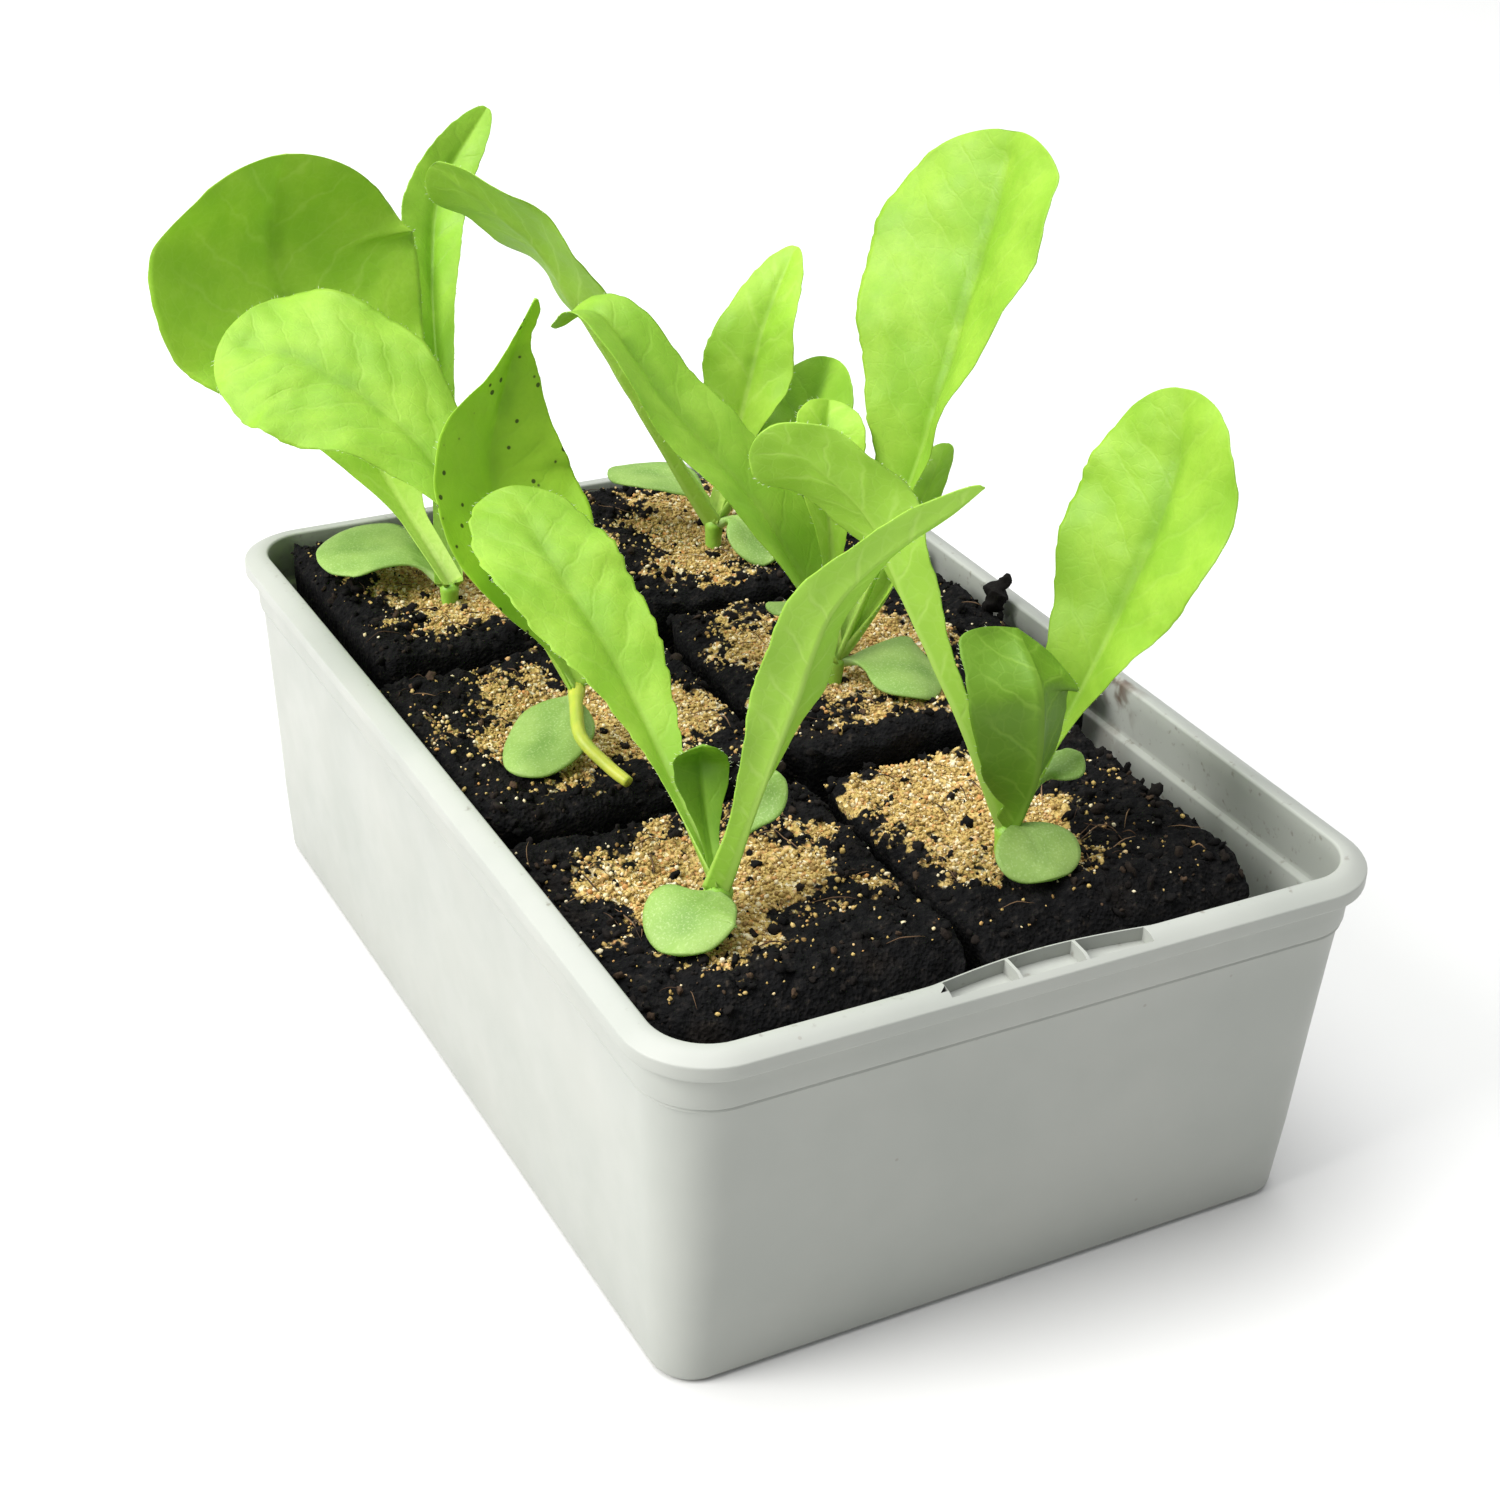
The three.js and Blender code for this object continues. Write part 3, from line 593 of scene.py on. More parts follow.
# ---- tray ----
HALF_X, HALF_Y, RIM_TOP = node_box("tray")[1]
CORNER_RADIUS = 13.3
CORNER_POINTS, LONG_SIDE_STEPS, SHORT_SIDE_STEPS = 15, 26, 70
RIM_WIDTH, RIM_DROP, BAND_INSET, BAND_BOTTOM, FOOT_INSET, WALL = 4.4, 3.8, 2.2, 54.4, 6.2, 1.5
RIM_FALL = 1.2  # the rim's top slopes down by this much towards its outer edge
WALL_TOP_INSET = 3.0
WALL_LEVELS, WALL_INSETS = [0, BAND_BOTTOM, RIM_TOP], [FOOT_INSET, WALL_TOP_INSET, BAND_INSET]
EDGE = 0.55  # radius of the rim's inner edge
# The pocket in the top of the front rim: the strip left outside it, the lip left inside it and how
# far that lip bulges inwards.
POCKET_HALF, POCKET_DEPTH, POCKET_RIB, POCKET_POINTS = 17.5, 2.3, 0.55, 9
POCKET_STRIP, POCKET_LIP, POCKET_BULGE = 1.15, 0.6, 1.8
BOW = 0.55  # the long left wall bends inwards by this much halfway along
MUD_PLACE = 22  # how far in front of the tray's middle the mud on the right wall is


def arc(centre, radius, start, end, count):
    """Points (inset, z) on an arc. Angle 0 points to a larger inset, 90 up."""
    angles = np.radians(np.linspace(start, end, count))
    return [(centre[0] + radius * math.cos(a), centre[1] + radius * math.sin(a)) for a in angles]


def rim_lip(x):
    """How far the rim's inner edge is arched inwards beside the pocket, 0 to 1."""
    return np.cos(np.clip(x / (POCKET_HALF * 1.1), -1, 1) * math.pi / 2)


def tray_ring(inset, z):
    """The tray's outline, drawn in by inset, at height z."""
    radius = max(CORNER_RADIUS - inset, 2)
    x, y = HALF_X - inset - radius, HALF_Y - inset - radius
    corners = [(x, -y, -90), (x, y, 0), (-x, y, 90), (-x, -y, 180)]
    ring = []
    for cx, cy, start in corners:
        for angle in np.radians(np.linspace(start, start + 90, CORNER_POINTS)):
            ring.append((cx + radius * math.cos(angle), cy + radius * math.sin(angle)))
    full = []
    for k, point in enumerate(ring):
        full.append(point)
        following = ring[(k + 1) % len(ring)]
        corner, step = divmod(k, CORNER_POINTS)
        side_steps = LONG_SIDE_STEPS if corner % 2 == 0 else SHORT_SIDE_STEPS
        pieces = side_steps if step == CORNER_POINTS - 1 else 1
        for j in range(1, pieces):
            full.append(tuple(np.array(point) + (np.array(following) - point) * j / pieces))
    ring = np.array(full)
    bend = BOW * np.clip(-ring[:, 0] / HALF_X, 0, 1) * np.clip(1 - (ring[:, 1] / HALF_Y) ** 2, 0, 1)
    ring[:, 0] += bend * min(z / RIM_TOP, 1)
    if inset > RIM_WIDTH * 0.6 and z > RIM_TOP - 6:
        ring[:, 1] += POCKET_BULGE * rim_lip(ring[:, 0]) * (ring[:, 1] < 0)
    return np.column_stack([ring, np.full(len(ring), z)])


def tray_profile():
    """(inset, z) from the underside's middle, up the outside and down the inside to the floor."""
    top, skirt_low = RIM_TOP, RIM_TOP - RIM_DROP
    return [
        (40, 0.0), (FOOT_INSET + 4, 0.0),
        *arc((FOOT_INSET + 1.9, 1.7), 1.7, 270, 184, 6),
        (FOOT_INSET - 0.8, 14), (FOOT_INSET - 1.7, 30), (WALL_TOP_INSET + 0.5, 46),
        *arc((WALL_TOP_INSET - 0.6, BAND_BOTTOM - 1.3), 0.6, 0, 80, 4),
        *arc((BAND_INSET + 0.6, BAND_BOTTOM + 0.2), 0.5, 255, 180, 4),
        (BAND_INSET, BAND_BOTTOM + 3), (BAND_INSET, skirt_low - 0.4),
        *arc((BAND_INSET - 0.4, skirt_low - 0.4), 0.4, 0, 90, 4),
        *arc((0.4, skirt_low + 0.4), 0.4, 270, 180, 4),
        (0, skirt_low + 1.2), (0, top - RIM_FALL - 0.5),
        *arc((0.35, top - RIM_FALL - 0.3), 0.35, 180, 112, 4),
        (1.2, top - RIM_FALL * 0.55), (2.2, top - RIM_FALL * 0.15), (3.1, top),
        *arc((RIM_WIDTH - EDGE, top - EDGE), EDGE, 90, 8, 6),
        (RIM_WIDTH + 0.15, top - 3), (BAND_INSET + WALL, BAND_BOTTOM + 1.2),
        *arc((BAND_INSET + WALL + 0.5, BAND_BOTTOM + 0.7), 0.5, 190, 262, 3),
        *arc((WALL_TOP_INSET + WALL - 0.1, BAND_BOTTOM - 0.5), 0.5, 80, 5, 4),
        (FOOT_INSET + WALL - 1.2, 20), (FOOT_INSET + WALL - 0.1, 4),
        *arc((FOOT_INSET + WALL + 1.4, 3.1), 1.5, 184, 268, 4),
        (40, 1.6),
    ]


def make_tray():
    rings = np.array([tray_ring(inset, z) for inset, z in tray_profile()])
    verts, faces = loft(rings)
    tray = make_object("tray_shell", verts, faces, [PLASTIC])
    # The pocket has three compartments, with a rib between each two.
    third = POCKET_HALF / 3
    edges = [-POCKET_HALF, -third - POCKET_RIB / 2, -third + POCKET_RIB / 2,
             third - POCKET_RIB / 2, third + POCKET_RIB / 2, POCKET_HALF]
    cutters = []
    for left, right in zip(edges[::2], edges[1::2]):
        x = np.linspace(left, right, POCKET_POINTS)
        near = np.full(POCKET_POINTS, -HALF_Y + POCKET_STRIP)
        far = -HALF_Y + RIM_WIDTH - POCKET_LIP + POCKET_BULGE * rim_lip(x)
        outline = np.concatenate([np.column_stack([x, near]), np.column_stack([x, far])[::-1]])
        rings = [np.column_stack([outline, np.full(len(outline), z)])
                 for z in (RIM_TOP - POCKET_DEPTH, RIM_TOP + 2)]
        cutter = make_object("pocket", *loft(np.array(rings)), [])
        cutters.append(cutter)
        modifier = tray.modifiers.new("pocket", "BOOLEAN")
        modifier.operation, modifier.solver, modifier.object = "DIFFERENCE", "EXACT", cutter
    bpy.context.view_layer.update()
    cut = bpy.data.meshes.new_from_object(tray.evaluated_get(bpy.context.evaluated_depsgraph_get()))
    tray.modifiers.clear()
    tray.data = cut
    for cutter in cutters:
        bpy.data.objects.remove(cutter)
    cut.polygons.foreach_set("use_smooth", [True] * len(cut.polygons))
    cut.set_sharp_from_angle(angle=math.radians(35))
    place = np.zeros(len(cut.vertices) * 3)
    cut.vertices.foreach_get("co", place)
    x, y, z = place.reshape(-1, 3).T / MM
    inside = (tray_inset(x, y) > np.interp(z, WALL_LEVELS, WALL_INSETS) + WALL / 2) & (z > 3)
    # A mud smudge near the top of the right wall, on its inside.
    mud = smoothstep(9, 3, np.abs(y + MUD_PLACE)) * (x > 0) * inside * smoothstep(50, 60, z)
    add_attributes(cut, {"inside": inside, "mud": mud})
    return tray


def tray_inset(x, y):
    """How far a point is inside the rim's outer edge."""
    dx, dy = np.abs(x) - (HALF_X - CORNER_RADIUS), np.abs(y) - (HALF_Y - CORNER_RADIUS)
    straight = np.minimum(HALF_X - np.abs(x), HALF_Y - np.abs(y))
    return np.where((dx > 0) & (dy > 0), CORNER_RADIUS - np.hypot(dx, dy), straight)


finish_piece(make_tray(), "tray_plastic", "tray")


# ---- peat blocks and sand ----
FRONT_BLOCKS = (1, 2)
SAND_INSET, SAND_SPREAD = 0.86, 1.08  # the CAD patch's share of the dimple, and the loose sand's
PEAT_STEP = 0.52  # distance between points of a block's top
CRUMB_TRIES, CRUMB_SINK, FIBRE_COUNT = 900, 0.2, 30
SAND_DENSITY = 2.75  # grains tried for each square millimetre


class Block:
    """Where a peat block is, and the height and sandiness of its top."""

    def __init__(self, number):
        self.number = number
        self.low, self.high = node_box(f"soil_block_{number}")
        sand_low, sand_high = node_box(f"sand_cover_{number}")
        self.middle = (sand_low + sand_high)[:2] / 2
        self.sand = (sand_high - sand_low)[:2] / 2 / SAND_INSET * SAND_SPREAD
        self.front = number in FRONT_BLOCKS

    def distance(self, x, y):
        """From the middle of the sand, 1 where its patch ends."""
        return np.hypot((x - self.middle[0]) / self.sand[0], (y - self.middle[1]) / self.sand[1])

    def sandiness(self, x, y):
        """Over 0.5 where sand covers the peat."""
        wander = fbm(flat(x, y), 8, 4, 50 + self.number)
        return np.clip(1.42 - self.distance(x, y) + 0.42 * wander, 0, 1.2)

    def ground(self, x, y):
        """Height of the block's surface."""
        top = self.high[2] - 0.5
        edge = np.minimum.reduce([x - self.low[0], self.high[0] - x,
                                  y - self.low[1], self.high[1] - y])
        drop = 2.2 * np.clip(1 - edge / 3.2, 0, 1) ** 2
        if self.front:
            reach = np.clip(1 - (y - self.low[1]) / 9.5, 0, 1)
            drop = drop + 6.0 * reach ** 1.7
        dish = 1.1 * np.clip(1 - self.distance(x, y), 0, 1) ** 0.8
        rough = np.clip(1.25 - self.sandiness(x, y), 0.3, 1)
        swirl = 1.6 * fbm(flat(x, y), 6, 2, 60)
        crack = np.abs(fbm(flat(x, y), 7, 3, 40 + self.number))
        texture = (1.3 * (clods(x + swirl, y - swirl, 7, self.number) - 0.6)
                   + 0.75 * (clods(x - swirl, y + swirl, 2.8, 20 + self.number) - 0.5)
                   + 1.3 * np.clip(crack, 0, 0.5) + 0.4 * fbm(flat(x, y), 1.4, 3, self.number)
                   + 0.8 * fbm(flat(x, y), 14, 2, 30 + self.number) - 0.5)
        return top - drop - dish + texture * rough


def make_block(block):
    """Top as a fine grid, then sides and underside."""
    rng = np.random.default_rng(100 + block.number)
    size = block.high - block.low
    nx, ny = int(size[0] / PEAT_STEP), int(size[1] / PEAT_STEP)
    u, v = np.meshgrid(np.linspace(-1, 1, nx), np.linspace(-1, 1, ny), indexing="ij")
    corner = 1 - 0.05 * np.abs(u * v) ** 7
    cx, cy = (block.low + block.high)[:2] / 2
    x, y = cx + u * corner * (size[0] / 2 - 0.2), cy + v * corner * (size[1] / 2 - 0.2)
    z = block.ground(x, y)
    sandy = block.sandiness(x, y)
    verts = [np.stack([x, y, z], axis=-1).reshape(-1, 3)]
    attribute = [sandy.ravel()]
    i = np.arange(nx * ny).reshape(nx, ny)
    faces = np.stack([i[:-1, :-1], i[1:, :-1], i[1:, 1:], i[:-1, 1:]], axis=-1)
    faces = faces.reshape(-1, 4).tolist()
    border = np.concatenate([i[:, 0], i[-1, 1:], i[-2::-1, -1], i[0, -2:0:-1]])
    rim = verts[0][border]
    sides = len(border)
    outward = (rim[:, :2] - [cx, cy]) / (size[:2] / 2)
    floor = block.low[2]
    previous, start = border, nx * ny
    for level in np.linspace(0.06, 1, 14):
        depth = rim[:, 2] - (rim[:, 2] - floor) * level
        shrink = 1 - 0.035 * level
        ring = np.column_stack([cx + (rim[:, 0] - cx) * shrink, cy + (rim[:, 1] - cy) * shrink,
                                depth])
        ring[:, :2] += outward * (0.5 * fbm(ring, 3, 3, 77) - 0.4)[:, None] * (level < 1)
        ids = np.arange(start, start + sides)
        faces += [[previous[k], ids[k], ids[(k + 1) % sides], previous[(k + 1) % sides]]
                  for k in range(sides)]
        verts.append(ring)
        attribute.append(np.zeros(sides))
        previous, start = ids, start + sides
    verts.append(np.array([[cx, cy, floor]]))
    attribute.append(np.zeros(1))
    faces += [[start, previous[(k + 1) % sides], previous[k]] for k in range(sides)]
    sheet = np.concatenate(verts)
    soup = Soup()
    soup.add(sheet, faces)
    # Crumbs and fibres lie all over the peat, fewer on the sand.
    px = rng.uniform(block.low[0] + 0.4, block.high[0] - 0.4, CRUMB_TRIES)
    py = rng.uniform(block.low[1] + (3 if block.front else 0.4), block.high[1] - 0.4, CRUMB_TRIES)
    keep = (block.sandiness(px, py) < 0.5) | (rng.random(CRUMB_TRIES) < 0.2)
    px, py = px[keep], py[keep]
    for x, y, z in zip(px, py, block.ground(px, py)):
        radius = 0.22 + 0.85 * rng.random() ** 4
        centre = np.array([x, y, z + radius * CRUMB_SINK])
        soup.add(*lump(rng, centre, radius, 0.6, radius > 0.5, 0.42), slot=1)
    for _ in range(FIBRE_COUNT):
        px = rng.uniform(block.low[0] + 3, block.high[0] - 3)
        py = rng.uniform(block.low[1] + 6, block.high[1] - 3)
        angle, length = rng.uniform(0, 2 * math.pi), rng.uniform(2.5, 8)
        s = np.linspace(-0.5, 0.5, 7)
        bend = rng.uniform(-0.35, 0.35)
        fx = px + length * (s * math.cos(angle) - bend * s * s * math.sin(angle))
        fy = py + length * (s * math.sin(angle) + bend * s * s * math.cos(angle))
        fz = block.ground(fx, fy)
        fz = np.convolve(np.pad(fz, 1, mode="edge"), [0.25, 0.5, 0.25], "valid")
        fz = fz + 0.35 + 0.5 * np.cos(s * math.pi)
        radii = rng.uniform(0.07, 0.16) * (1 - 0.7 * np.abs(s * 2))
        soup.add(*tube(np.column_stack([fx, fy, fz]), radii, 5), slot=2)
    sand = np.concatenate(attribute + [np.zeros(soup.count - len(sheet))])
    piece = soup.object(f"peat_{block.number}", [PEAT, CRUMB, FIBRE], attributes={"sand": sand})
    finish_piece(piece, "peat", f"soil_block_{block.number}")


def make_sand(block):
    rng = np.random.default_rng(200 + block.number)
    soup = Soup()
    reach = block.sand * 1.9
    tries = int(4 * reach[0] * reach[1] * SAND_DENSITY)
    px = block.middle[0] + rng.uniform(-1, 1, tries) * reach[0]
    py = block.middle[1] + rng.uniform(-1, 1, tries) * reach[1]
    cover = block.sandiness(px, py)
    stray = 0.035 + 0.55 * np.clip(cover - 0.05, 0, 1)
    keep = rng.random(tries) < np.where(cover > 0.5, 0.95, stray)
    keep &= (px > block.low[0] + 0.8) & (px < block.high[0] - 0.8)
    keep &= (py > block.low[1] + 4) & (py < block.high[1] - 0.8)
    px, py = px[keep], py[keep]
    for x, y, z in zip(px, py, block.ground(px, py)):
        radius = 0.17 + 0.3 * rng.random() ** 2
        fine = block.front and radius > 0.4
        soup.add(*lump(rng, np.array([x, y, z + radius * 0.5]), radius, 0.8, fine, 0.2))
    piece = soup.object(f"sand_{block.number}", [SAND])
    finish_piece(piece, "sand", f"sand_cover_{block.number}")


blocks = [Block(number) for number in range(1, BLOCK_COUNT + 1)]
for block in blocks:
    make_block(block)
    make_sand(block)


# ---- leaves ----
LEAF_STEP = 0.75  # distance between a leaf's cross-sections
TOOTH_SPACING = 4.3
SLOPE_STEP = 1e-3
THINNEST = 0.12  # half width at a leaf's very tip
HAIRS_PER_MM, HAIR_RADII = 1.3, [0.035, 0.025, 0.006]
STEM_DEPTH, FRONT_STEM_WIDTH = 1.5, 1.3  # the front plants have wider stems


def spline(points, t):
    """A Catmull-Rom curve through points, at shares t of its length."""
    count = len(points) - 1
    padded = np.vstack([2 * points[0] - points[1], points, 2 * points[-1] - points[-2]])
    s = np.clip(t * count, 0, count - 1e-9)
    i = s.astype(int)
    f = (s - i)[:, None]
    a, b, c, d = padded[i], padded[i + 1], padded[i + 2], padded[i + 3]
    return 0.5 * (2 * b + (c - a) * f + (2 * a - 5 * b + 4 * c - d) * f ** 2
                  + (3 * b - a - 3 * c + d) * f ** 3)


def spread(values, t):
    """Values at equal distances along the leaf, read at t."""
    return np.interp(t, np.linspace(0, 1, len(values)), values)


def half_width(blade, t):
    """Half of a blade's width at t, 0 at the crown and 1 at the tip."""
    petiole, widest, peak, fullness, tip = blade
    rise = np.clip((t - 0.15) / (peak - 0.15), 0, 1)
    growing = petiole + (widest - petiole) * (rise * rise * (3 - 2 * rise)) ** fullness
    after = np.clip((t - peak) / (1 - peak), 0, 1)
    return np.where(t < peak, growing, widest * np.sqrt(np.clip(1 - after ** tip, 0, 1)))


def make_leaf(name, crown, leaf, node, seed, cotyledon=False):
    rng = np.random.default_rng(seed)
    heading = math.radians(leaf["heading"])
    out = np.array([math.cos(heading), math.sin(heading), 0])
    aside = np.array([-math.sin(heading), math.cos(heading), 0])
    up = np.array([0, 0, 1.0])
    path = np.array([[0, 0, 0]] + leaf["path"], dtype=float)
    points = np.array(crown) + path[:, :1] * out + path[:, 1:2] * aside + path[:, 2:] * up
    length = np.linalg.norm(np.diff(points, axis=0), axis=1).sum()
    stations = int(np.clip(length / LEAF_STEP, 26, 120))
    s = np.linspace(0, 1, stations)
    t = 0.998 * (1 - (1 - s) ** 1.35)
    middle = spline(points, t)
    tangent = (spline(points, np.clip(t + SLOPE_STEP, 0, 1))
               - spline(points, np.clip(t - SLOPE_STEP, 0, 1)))
    tangent /= np.linalg.norm(tangent, axis=1, keepdims=True)
    across = aside - (tangent @ aside)[:, None] * tangent
    across /= np.linalg.norm(across, axis=1, keepdims=True)
    upper = np.cross(tangent, across)
    roll = np.radians(spread(leaf.get("roll", [0, 0]), t))[:, None]
    across, upper = (across * np.cos(roll) + upper * np.sin(roll),
                     upper * np.cos(roll) - across * np.sin(roll))
    fold = np.radians(spread(leaf.get("fold", [10, 5, -5]), t))[:, None]
    strips = 13 if cotyledon else 27
    even = np.linspace(-1, 1, strips)
    u = np.sin(np.linspace(-math.pi / 2, math.pi / 2, strips)) * 0.5 + even * 0.5
    if "outline" in leaf:
        width = np.interp(t, *np.transpose(leaf["outline"]))
        width = np.convolve(np.pad(width, 4, mode="edge"), np.ones(9) / 9, "valid")
    else:
        width = half_width(leaf["blade"], t)
    width = np.maximum(width, THINNEST)
    along = t * length
    teeth = 0.0 if cotyledon else leaf.get("teeth", 0.2)
    grown = smoothstep(0.18, 0.4, t) * smoothstep(1.0, 0.93, t)
    rows = []
    for sign in (-1, 1):
        wander = fbm(flat(along, along * 0 + seed), 9, 2, 5)
        saw = (along / TOOTH_SPACING + 0.37 * sign + 0.5 * wander) % 1.0
        tooth = np.where(saw < 0.75, saw / 0.75, (1 - saw) / 0.25)
        lobe = fbm(flat(along, along * 0 + seed * 3.1 + sign), 13, 2, 9)
        rows.append(grown * (teeth * (tooth - 0.5) + 0.2 * lobe * (teeth > 0)))
    edge_out = np.where(u > 0, rows[1][:, None], rows[0][:, None])
    reach = np.abs(u)
    w = width[:, None] + edge_out * reach ** 6
    side_mm = u * w
    x = np.sign(u) * reach * w * np.cos(fold)
    z = reach * w * np.sin(fold)
    grid_mm = np.stack([np.broadcast_to(side_mm, x.shape), np.broadcast_to(along[:, None], x.shape),
                        np.full(x.shape, seed * 7.7)], axis=-1)
    if cotyledon:
        z = z + 0.25 * grown[:, None] * fbm(grid_mm, 6, 2, 3) - 0.5 * (reach ** 2) * grown[:, None]
    else:
        # The blade swells between the side veins of its material, and its edge is wavy.
        run = (along[:, None] - np.abs(side_mm) * VEIN_SLANT) / VEIN_SPACING
        swell = np.abs(np.sin(math.pi * (run + VEIN_SHIFT * np.sign(side_mm)))) ** 0.7
        quilt = swell * smoothstep(0.02, 0.3, reach) * smoothstep(1, 0.6, reach)
        size = np.clip(width / 12, 0.2, 1)[:, None]
        wave = np.sin(along[:, None] / 13 * 2 * math.pi / 1.3 + (u > 0) * 2.1 + seed)
        relief = 0.32 * quilt + 0.5 * fbm(grid_mm, 9, 3, 3) + 0.7 * wave * reach ** 3
        z = z + size * grown[:, None] * relief
        z = z - size * grown[:, None] * 0.35 * np.exp(-(side_mm / 0.9) ** 2)
    thin = COTYLEDON_THICKNESS if cotyledon else LEAF_THICKNESS
    core = [0.9, 0.7, 0.4, 0.1] if cotyledon else [1.5, 1.1, 0.75, 0.15]
    core = np.interp(t, [0, 0.2, 0.6, 1], core)[:, None]
    rib = core * np.exp(-(side_mm / (0.55 + core)) ** 2)
    petiole = smoothstep(0.35, 0.05, t)[:, None]
    thick = np.minimum(thin, width[:, None] * 0.8) * (1 - 0.55 * reach ** 4)
    top = z + thick / 2 + 0.35 * rib * petiole
    low = z - thick / 2 - rib * (0.55 + 0.6 * petiole)
    flat_part = middle[:, None] + x[..., None] * across[:, None]
    surfaces = [flat_part + height[..., None] * upper[:, None] for height in (top, low)]
    soup = Soup()
    soup.add(*loft(np.concatenate([surfaces[0][:, ::-1], surfaces[1]], axis=1)))
    # Each point's place on the leaf: its share across and along, with 1 on top and 0 below, and in
    # millimetres. The two points after the rings are the middles of the ends.
    co = np.concatenate([
        np.stack(np.broadcast_arrays(side, t[:, None], face), axis=-1)
        for side, face in ((u[::-1], 1.0), (u, 0.0))], axis=1).reshape(-1, 3)
    mm = np.concatenate([grid_mm[:, ::-1], grid_mm], axis=1).reshape(-1, 3) * [1, 1, 0]
    co = np.vstack([co, co[:strips].mean(axis=0), co[-strips:].mean(axis=0)])
    mm = np.vstack([mm, mm[:strips].mean(axis=0), mm[-strips:].mean(axis=0)])
    # Short hairs on the margins.
    if not cotyledon:
        for _ in range(int(length * HAIRS_PER_MM)):
            k = int(rng.integers(int(stations * 0.1), stations - 2))
            j = 0 if rng.random() < 0.5 else strips - 1
            root = (surfaces[0][k, j] + surfaces[1][k, j]) / 2
            outward = across[k] * (1 if u[j] > 0 else -1)
            tip = outward * rng.uniform(0.25, 0.6) + tangent[k] * rng.uniform(-0.1, 0.5)
            tip = tip + upper[k] * rng.uniform(-0.3, 0.3)
            hair = [root - outward * 0.1, root + tip * 0.6, root + tip]
            soup.add(*tube(hair, HAIR_RADII, 3), slot=1)
    co = np.vstack([co, np.tile([1, 0.5, 1], (soup.count - len(co), 1))])
    mm = np.vstack([mm, np.zeros((soup.count - len(mm), 3))])
    look = COTYLEDON if cotyledon else LEAF_LOOKS[leaf["look"]]
    piece = soup.object(name, [look, HAIR], attributes={"leaf_co": co, "leaf_mm": mm})
    finish_piece(piece, "cotyledon" if cotyledon else "leaf", node)


def make_stem(number, plant, crown, top):
    if "stalk" in plant:
        points = spline(np.array(plant["stalk"] + [crown], dtype=float), np.linspace(0, 1, 40))
        radii = np.interp(np.linspace(0, 1, 40), [0, 0.1, 0.8, 1], [0.95, 1.05, 1.15, 1.5])
        sides, material = 14, STALK
    else:
        ground = blocks[number - 1].ground(np.array([crown[0]]), np.array([crown[1]]))[0]
        foot = ground - STEM_DEPTH
        levels = np.linspace(0, 1, 16)
        points = np.column_stack([np.full(16, crown[0]), np.full(16, crown[1]),
                                  foot + (top - 0.4 - foot) * levels])
        radii = np.interp(levels, [0, 0.5, 0.85, 1], [1.4, 1.6, 1.8, 1.0])
        radii = radii * (FRONT_STEM_WIDTH if number in FRONT_BLOCKS else 1)
        sides, material = 20, STEM
    piece = make_object(f"stem_{number}", *tube(points, radii, sides), [material])
    finish_piece(piece, "stem", f"seedling_{number}_stem")


for number, plant in enumerate(PLANTS, start=1):
    stem_low, stem_high = node_box(f"seedling_{number}_stem")
    crown = plant.get("crown", [*((stem_low + stem_high)[:2] / 2), stem_high[2] - 1.4])
    make_stem(number, plant, crown, stem_high[2])
    for k, leaf in enumerate(plant["cotyledons"], start=1):
        node = f"seedling_{number}_cotyledon_{k}"
        make_leaf(f"seed_leaf_{number}_{k}", crown, leaf, node, number * 20 + k, True)
    for k, leaf in enumerate(plant["leaves"], start=1):
        node = f"seedling_{number}_leaf_{k}"
        make_leaf(f"leaf_{number}_{k}", crown, leaf, node, number * 10 + k)


# ---- loose chip of peat ----
def make_chip():
    """A leaning splinter with lumpy sides."""
    sides = 22
    low, high = node_box("peat_chip")
    foot = np.array([low[0] - 2.2, (low[1] + high[1]) / 2 - 1.5, low[2] - 1.2])
    tip = np.array([low[0] + 1.6, foot[1] + 2.5, high[2]])
    levels = np.linspace(0, 1, 26)
    line = foot + (tip - foot) * levels[:, None]
    line[:, 1] += 0.7 * np.sin(levels * 5)
    radii = np.interp(levels, [0, 0.2, 0.5, 0.75, 1], [1.6, 2.3, 1.9, 1.3, 0.5])
    verts, faces = tube(line, radii, sides)
    middle = np.repeat(line, sides, axis=0)
    body = verts[:len(middle)]
    verts[:len(middle)] += (body - middle) * (0.55 * fbm(body, 1.8, 3, 4))[:, None]
    chip = make_object("peat_fragment", verts, faces, [CRUMB])
    finish_piece(chip, "peat", "peat_chip")


make_chip()


# ---- floor, light and camera ----
FLOOR_HALF = 1500
# Lights: place, size and power in metres and watts, all turned to LIGHT_TARGET.
LIGHT_TARGET = (0, 0, 0.06)
KEY_PLACE, KEY_SIZE, KEY_POWER, KEY_COLOUR = (-1.06, 0.05, 0.81), 0.8, 21.5, (1.0, 0.99, 0.97)
TOP_PLACE, TOP_SIZE, TOP_POWER, TOP_COLOUR = (-0.1, 0.35, 1.8), 1.9, 44, (1, 1, 1)
SKY_COLOUR, SKY_STRENGTH = (0.97, 0.985, 1, 1), 0.47
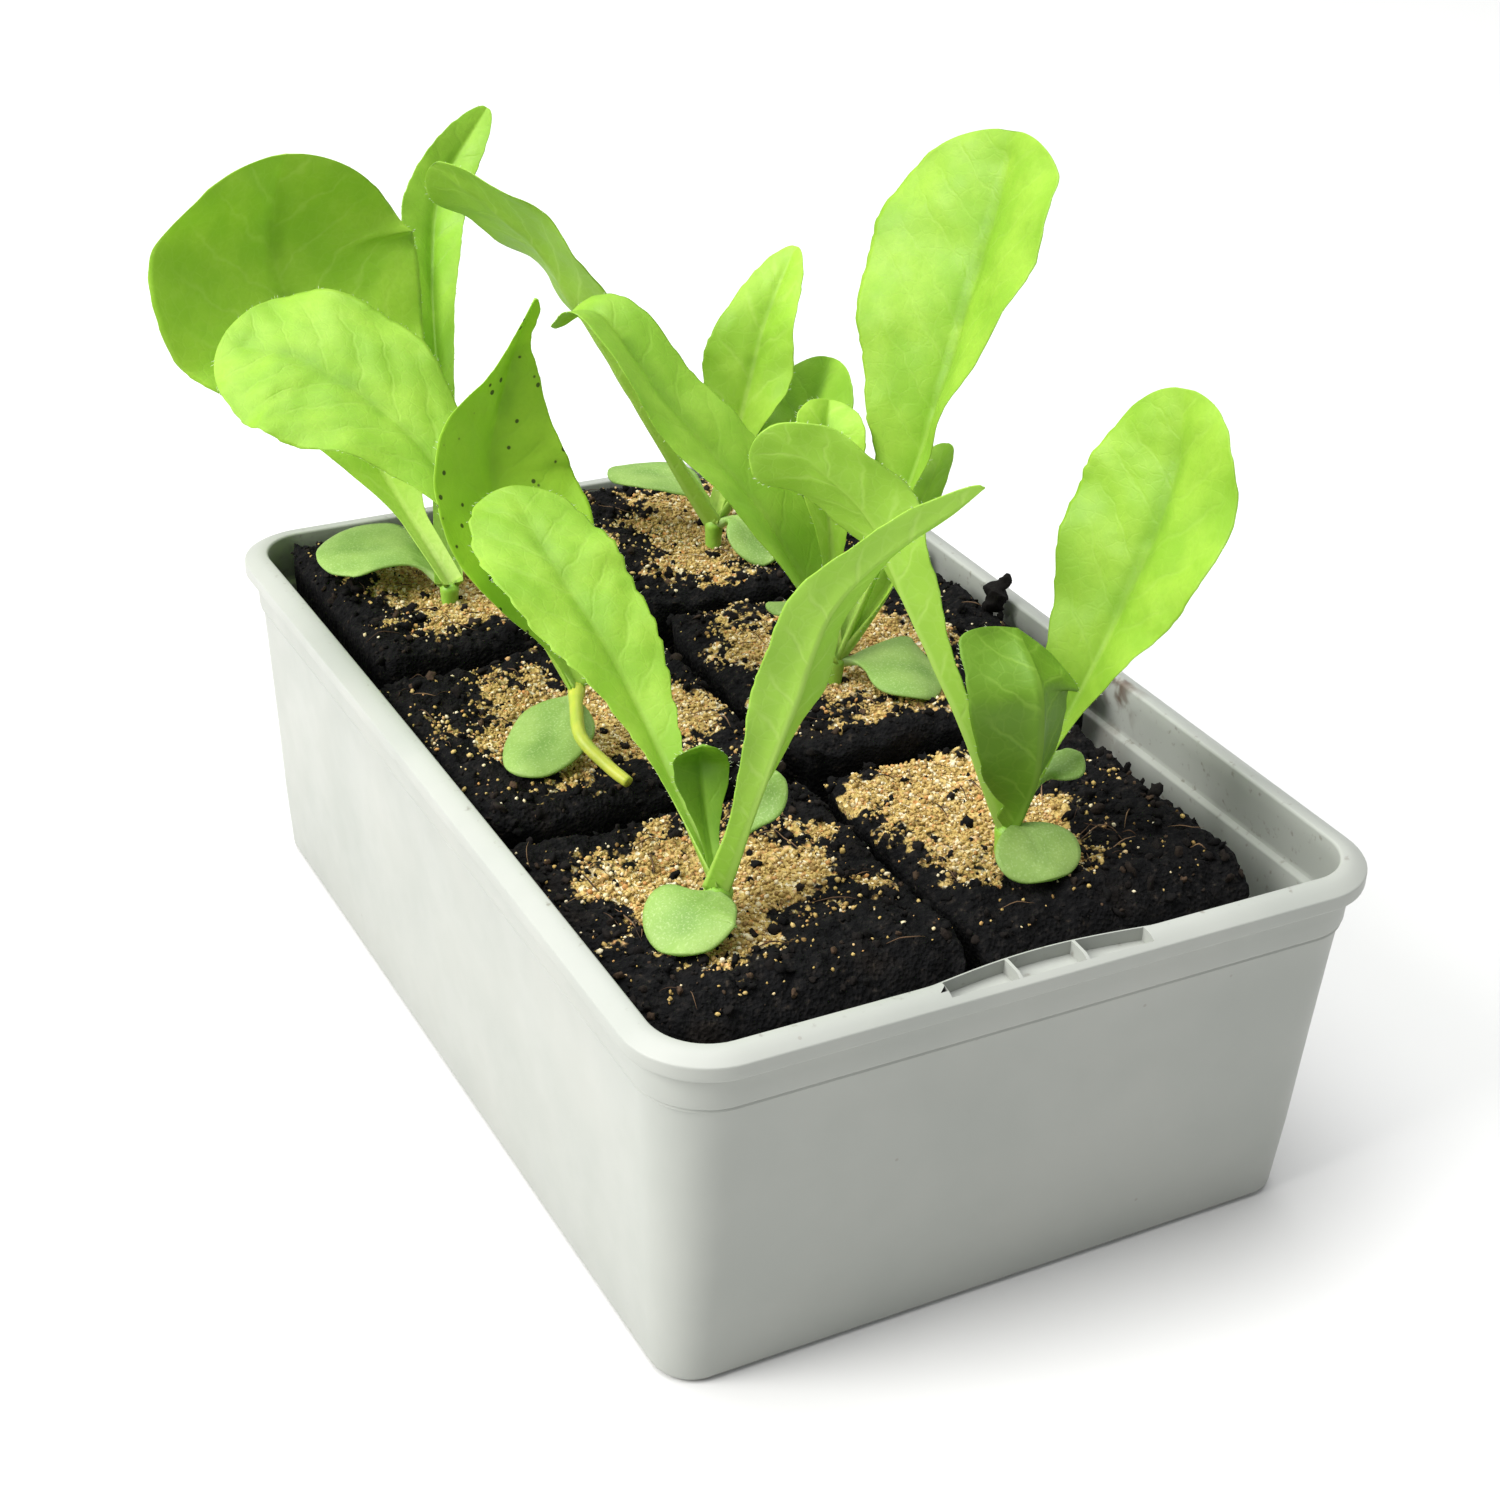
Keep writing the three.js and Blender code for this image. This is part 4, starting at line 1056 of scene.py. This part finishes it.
# The camera, solved from the tray's edges in the photograph. Angles are in radians.
YAW, PITCH, ROLL = 0.506, 0.513, 0.047
AIM = Vector((-4.18, -4.02, 54.82)) * MM
DISTANCE = 434.4 * MM
SENSOR_WIDTH, LENS, SHIFT_X, CLIP_START = 36, 60.58, 0.0056, 0.01


def make_floor():
    n = Nodes("floor_white", 0.8, 0.1)
    colour = n.mix(n.step(n.noise(400, 2), 0.3, 0.7), (212, 212, 211), (216, 216, 215))
    corners = [(x * FLOOR_HALF, y * FLOOR_HALF, 0) for x, y in ((-1, -1), (1, -1), (1, 1), (-1, 1))]
    floor = make_object("floor", corners, [[0, 1, 2, 3]], [n.finish(colour)], smooth=False)


def area_light(name, place, size, power, colour):
    data = bpy.data.lights.new(name, "AREA")
    data.shape = "DISK"
    data.size = size
    data.energy = power
    data.color = colour
    light = bpy.data.objects.new(name, data)
    light.location = place
    aim = Vector(LIGHT_TARGET) - Vector(place)
    light.rotation_euler = aim.to_track_quat("-Z", "Y").to_euler()
    SCENE.collection.objects.link(light)


def make_camera():
    forward = Vector((math.sin(YAW) * math.cos(PITCH), math.cos(YAW) * math.cos(PITCH),
                      -math.sin(PITCH)))
    level_right = Vector((math.cos(YAW), -math.sin(YAW), 0))
    level_up = level_right.cross(forward)
    right = math.cos(ROLL) * level_right + math.sin(ROLL) * level_up
    upward = math.cos(ROLL) * level_up - math.sin(ROLL) * level_right
    data = bpy.data.cameras.new("camera")
    data.sensor_width, data.lens, data.shift_x = SENSOR_WIDTH, LENS, SHIFT_X
    data.clip_start = CLIP_START
    camera = bpy.data.objects.new("camera", data)
    rotation = Matrix((right, upward, -forward)).transposed()
    camera.matrix_world = Matrix.Translation(AIM - forward * DISTANCE) @ rotation.to_4x4()
    SCENE.collection.objects.link(camera)
    SCENE.camera = camera


make_floor()
area_light("key", KEY_PLACE, KEY_SIZE, KEY_POWER, KEY_COLOUR)
area_light("top", TOP_PLACE, TOP_SIZE, TOP_POWER, TOP_COLOUR)
world = bpy.data.worlds.new("studio")
world.use_nodes = True
background = world.node_tree.nodes["Background"]
background.inputs["Color"].default_value = SKY_COLOUR
background.inputs["Strength"].default_value = SKY_STRENGTH
SCENE.world = world
SCENE.view_settings.view_transform = "Standard"
make_camera()
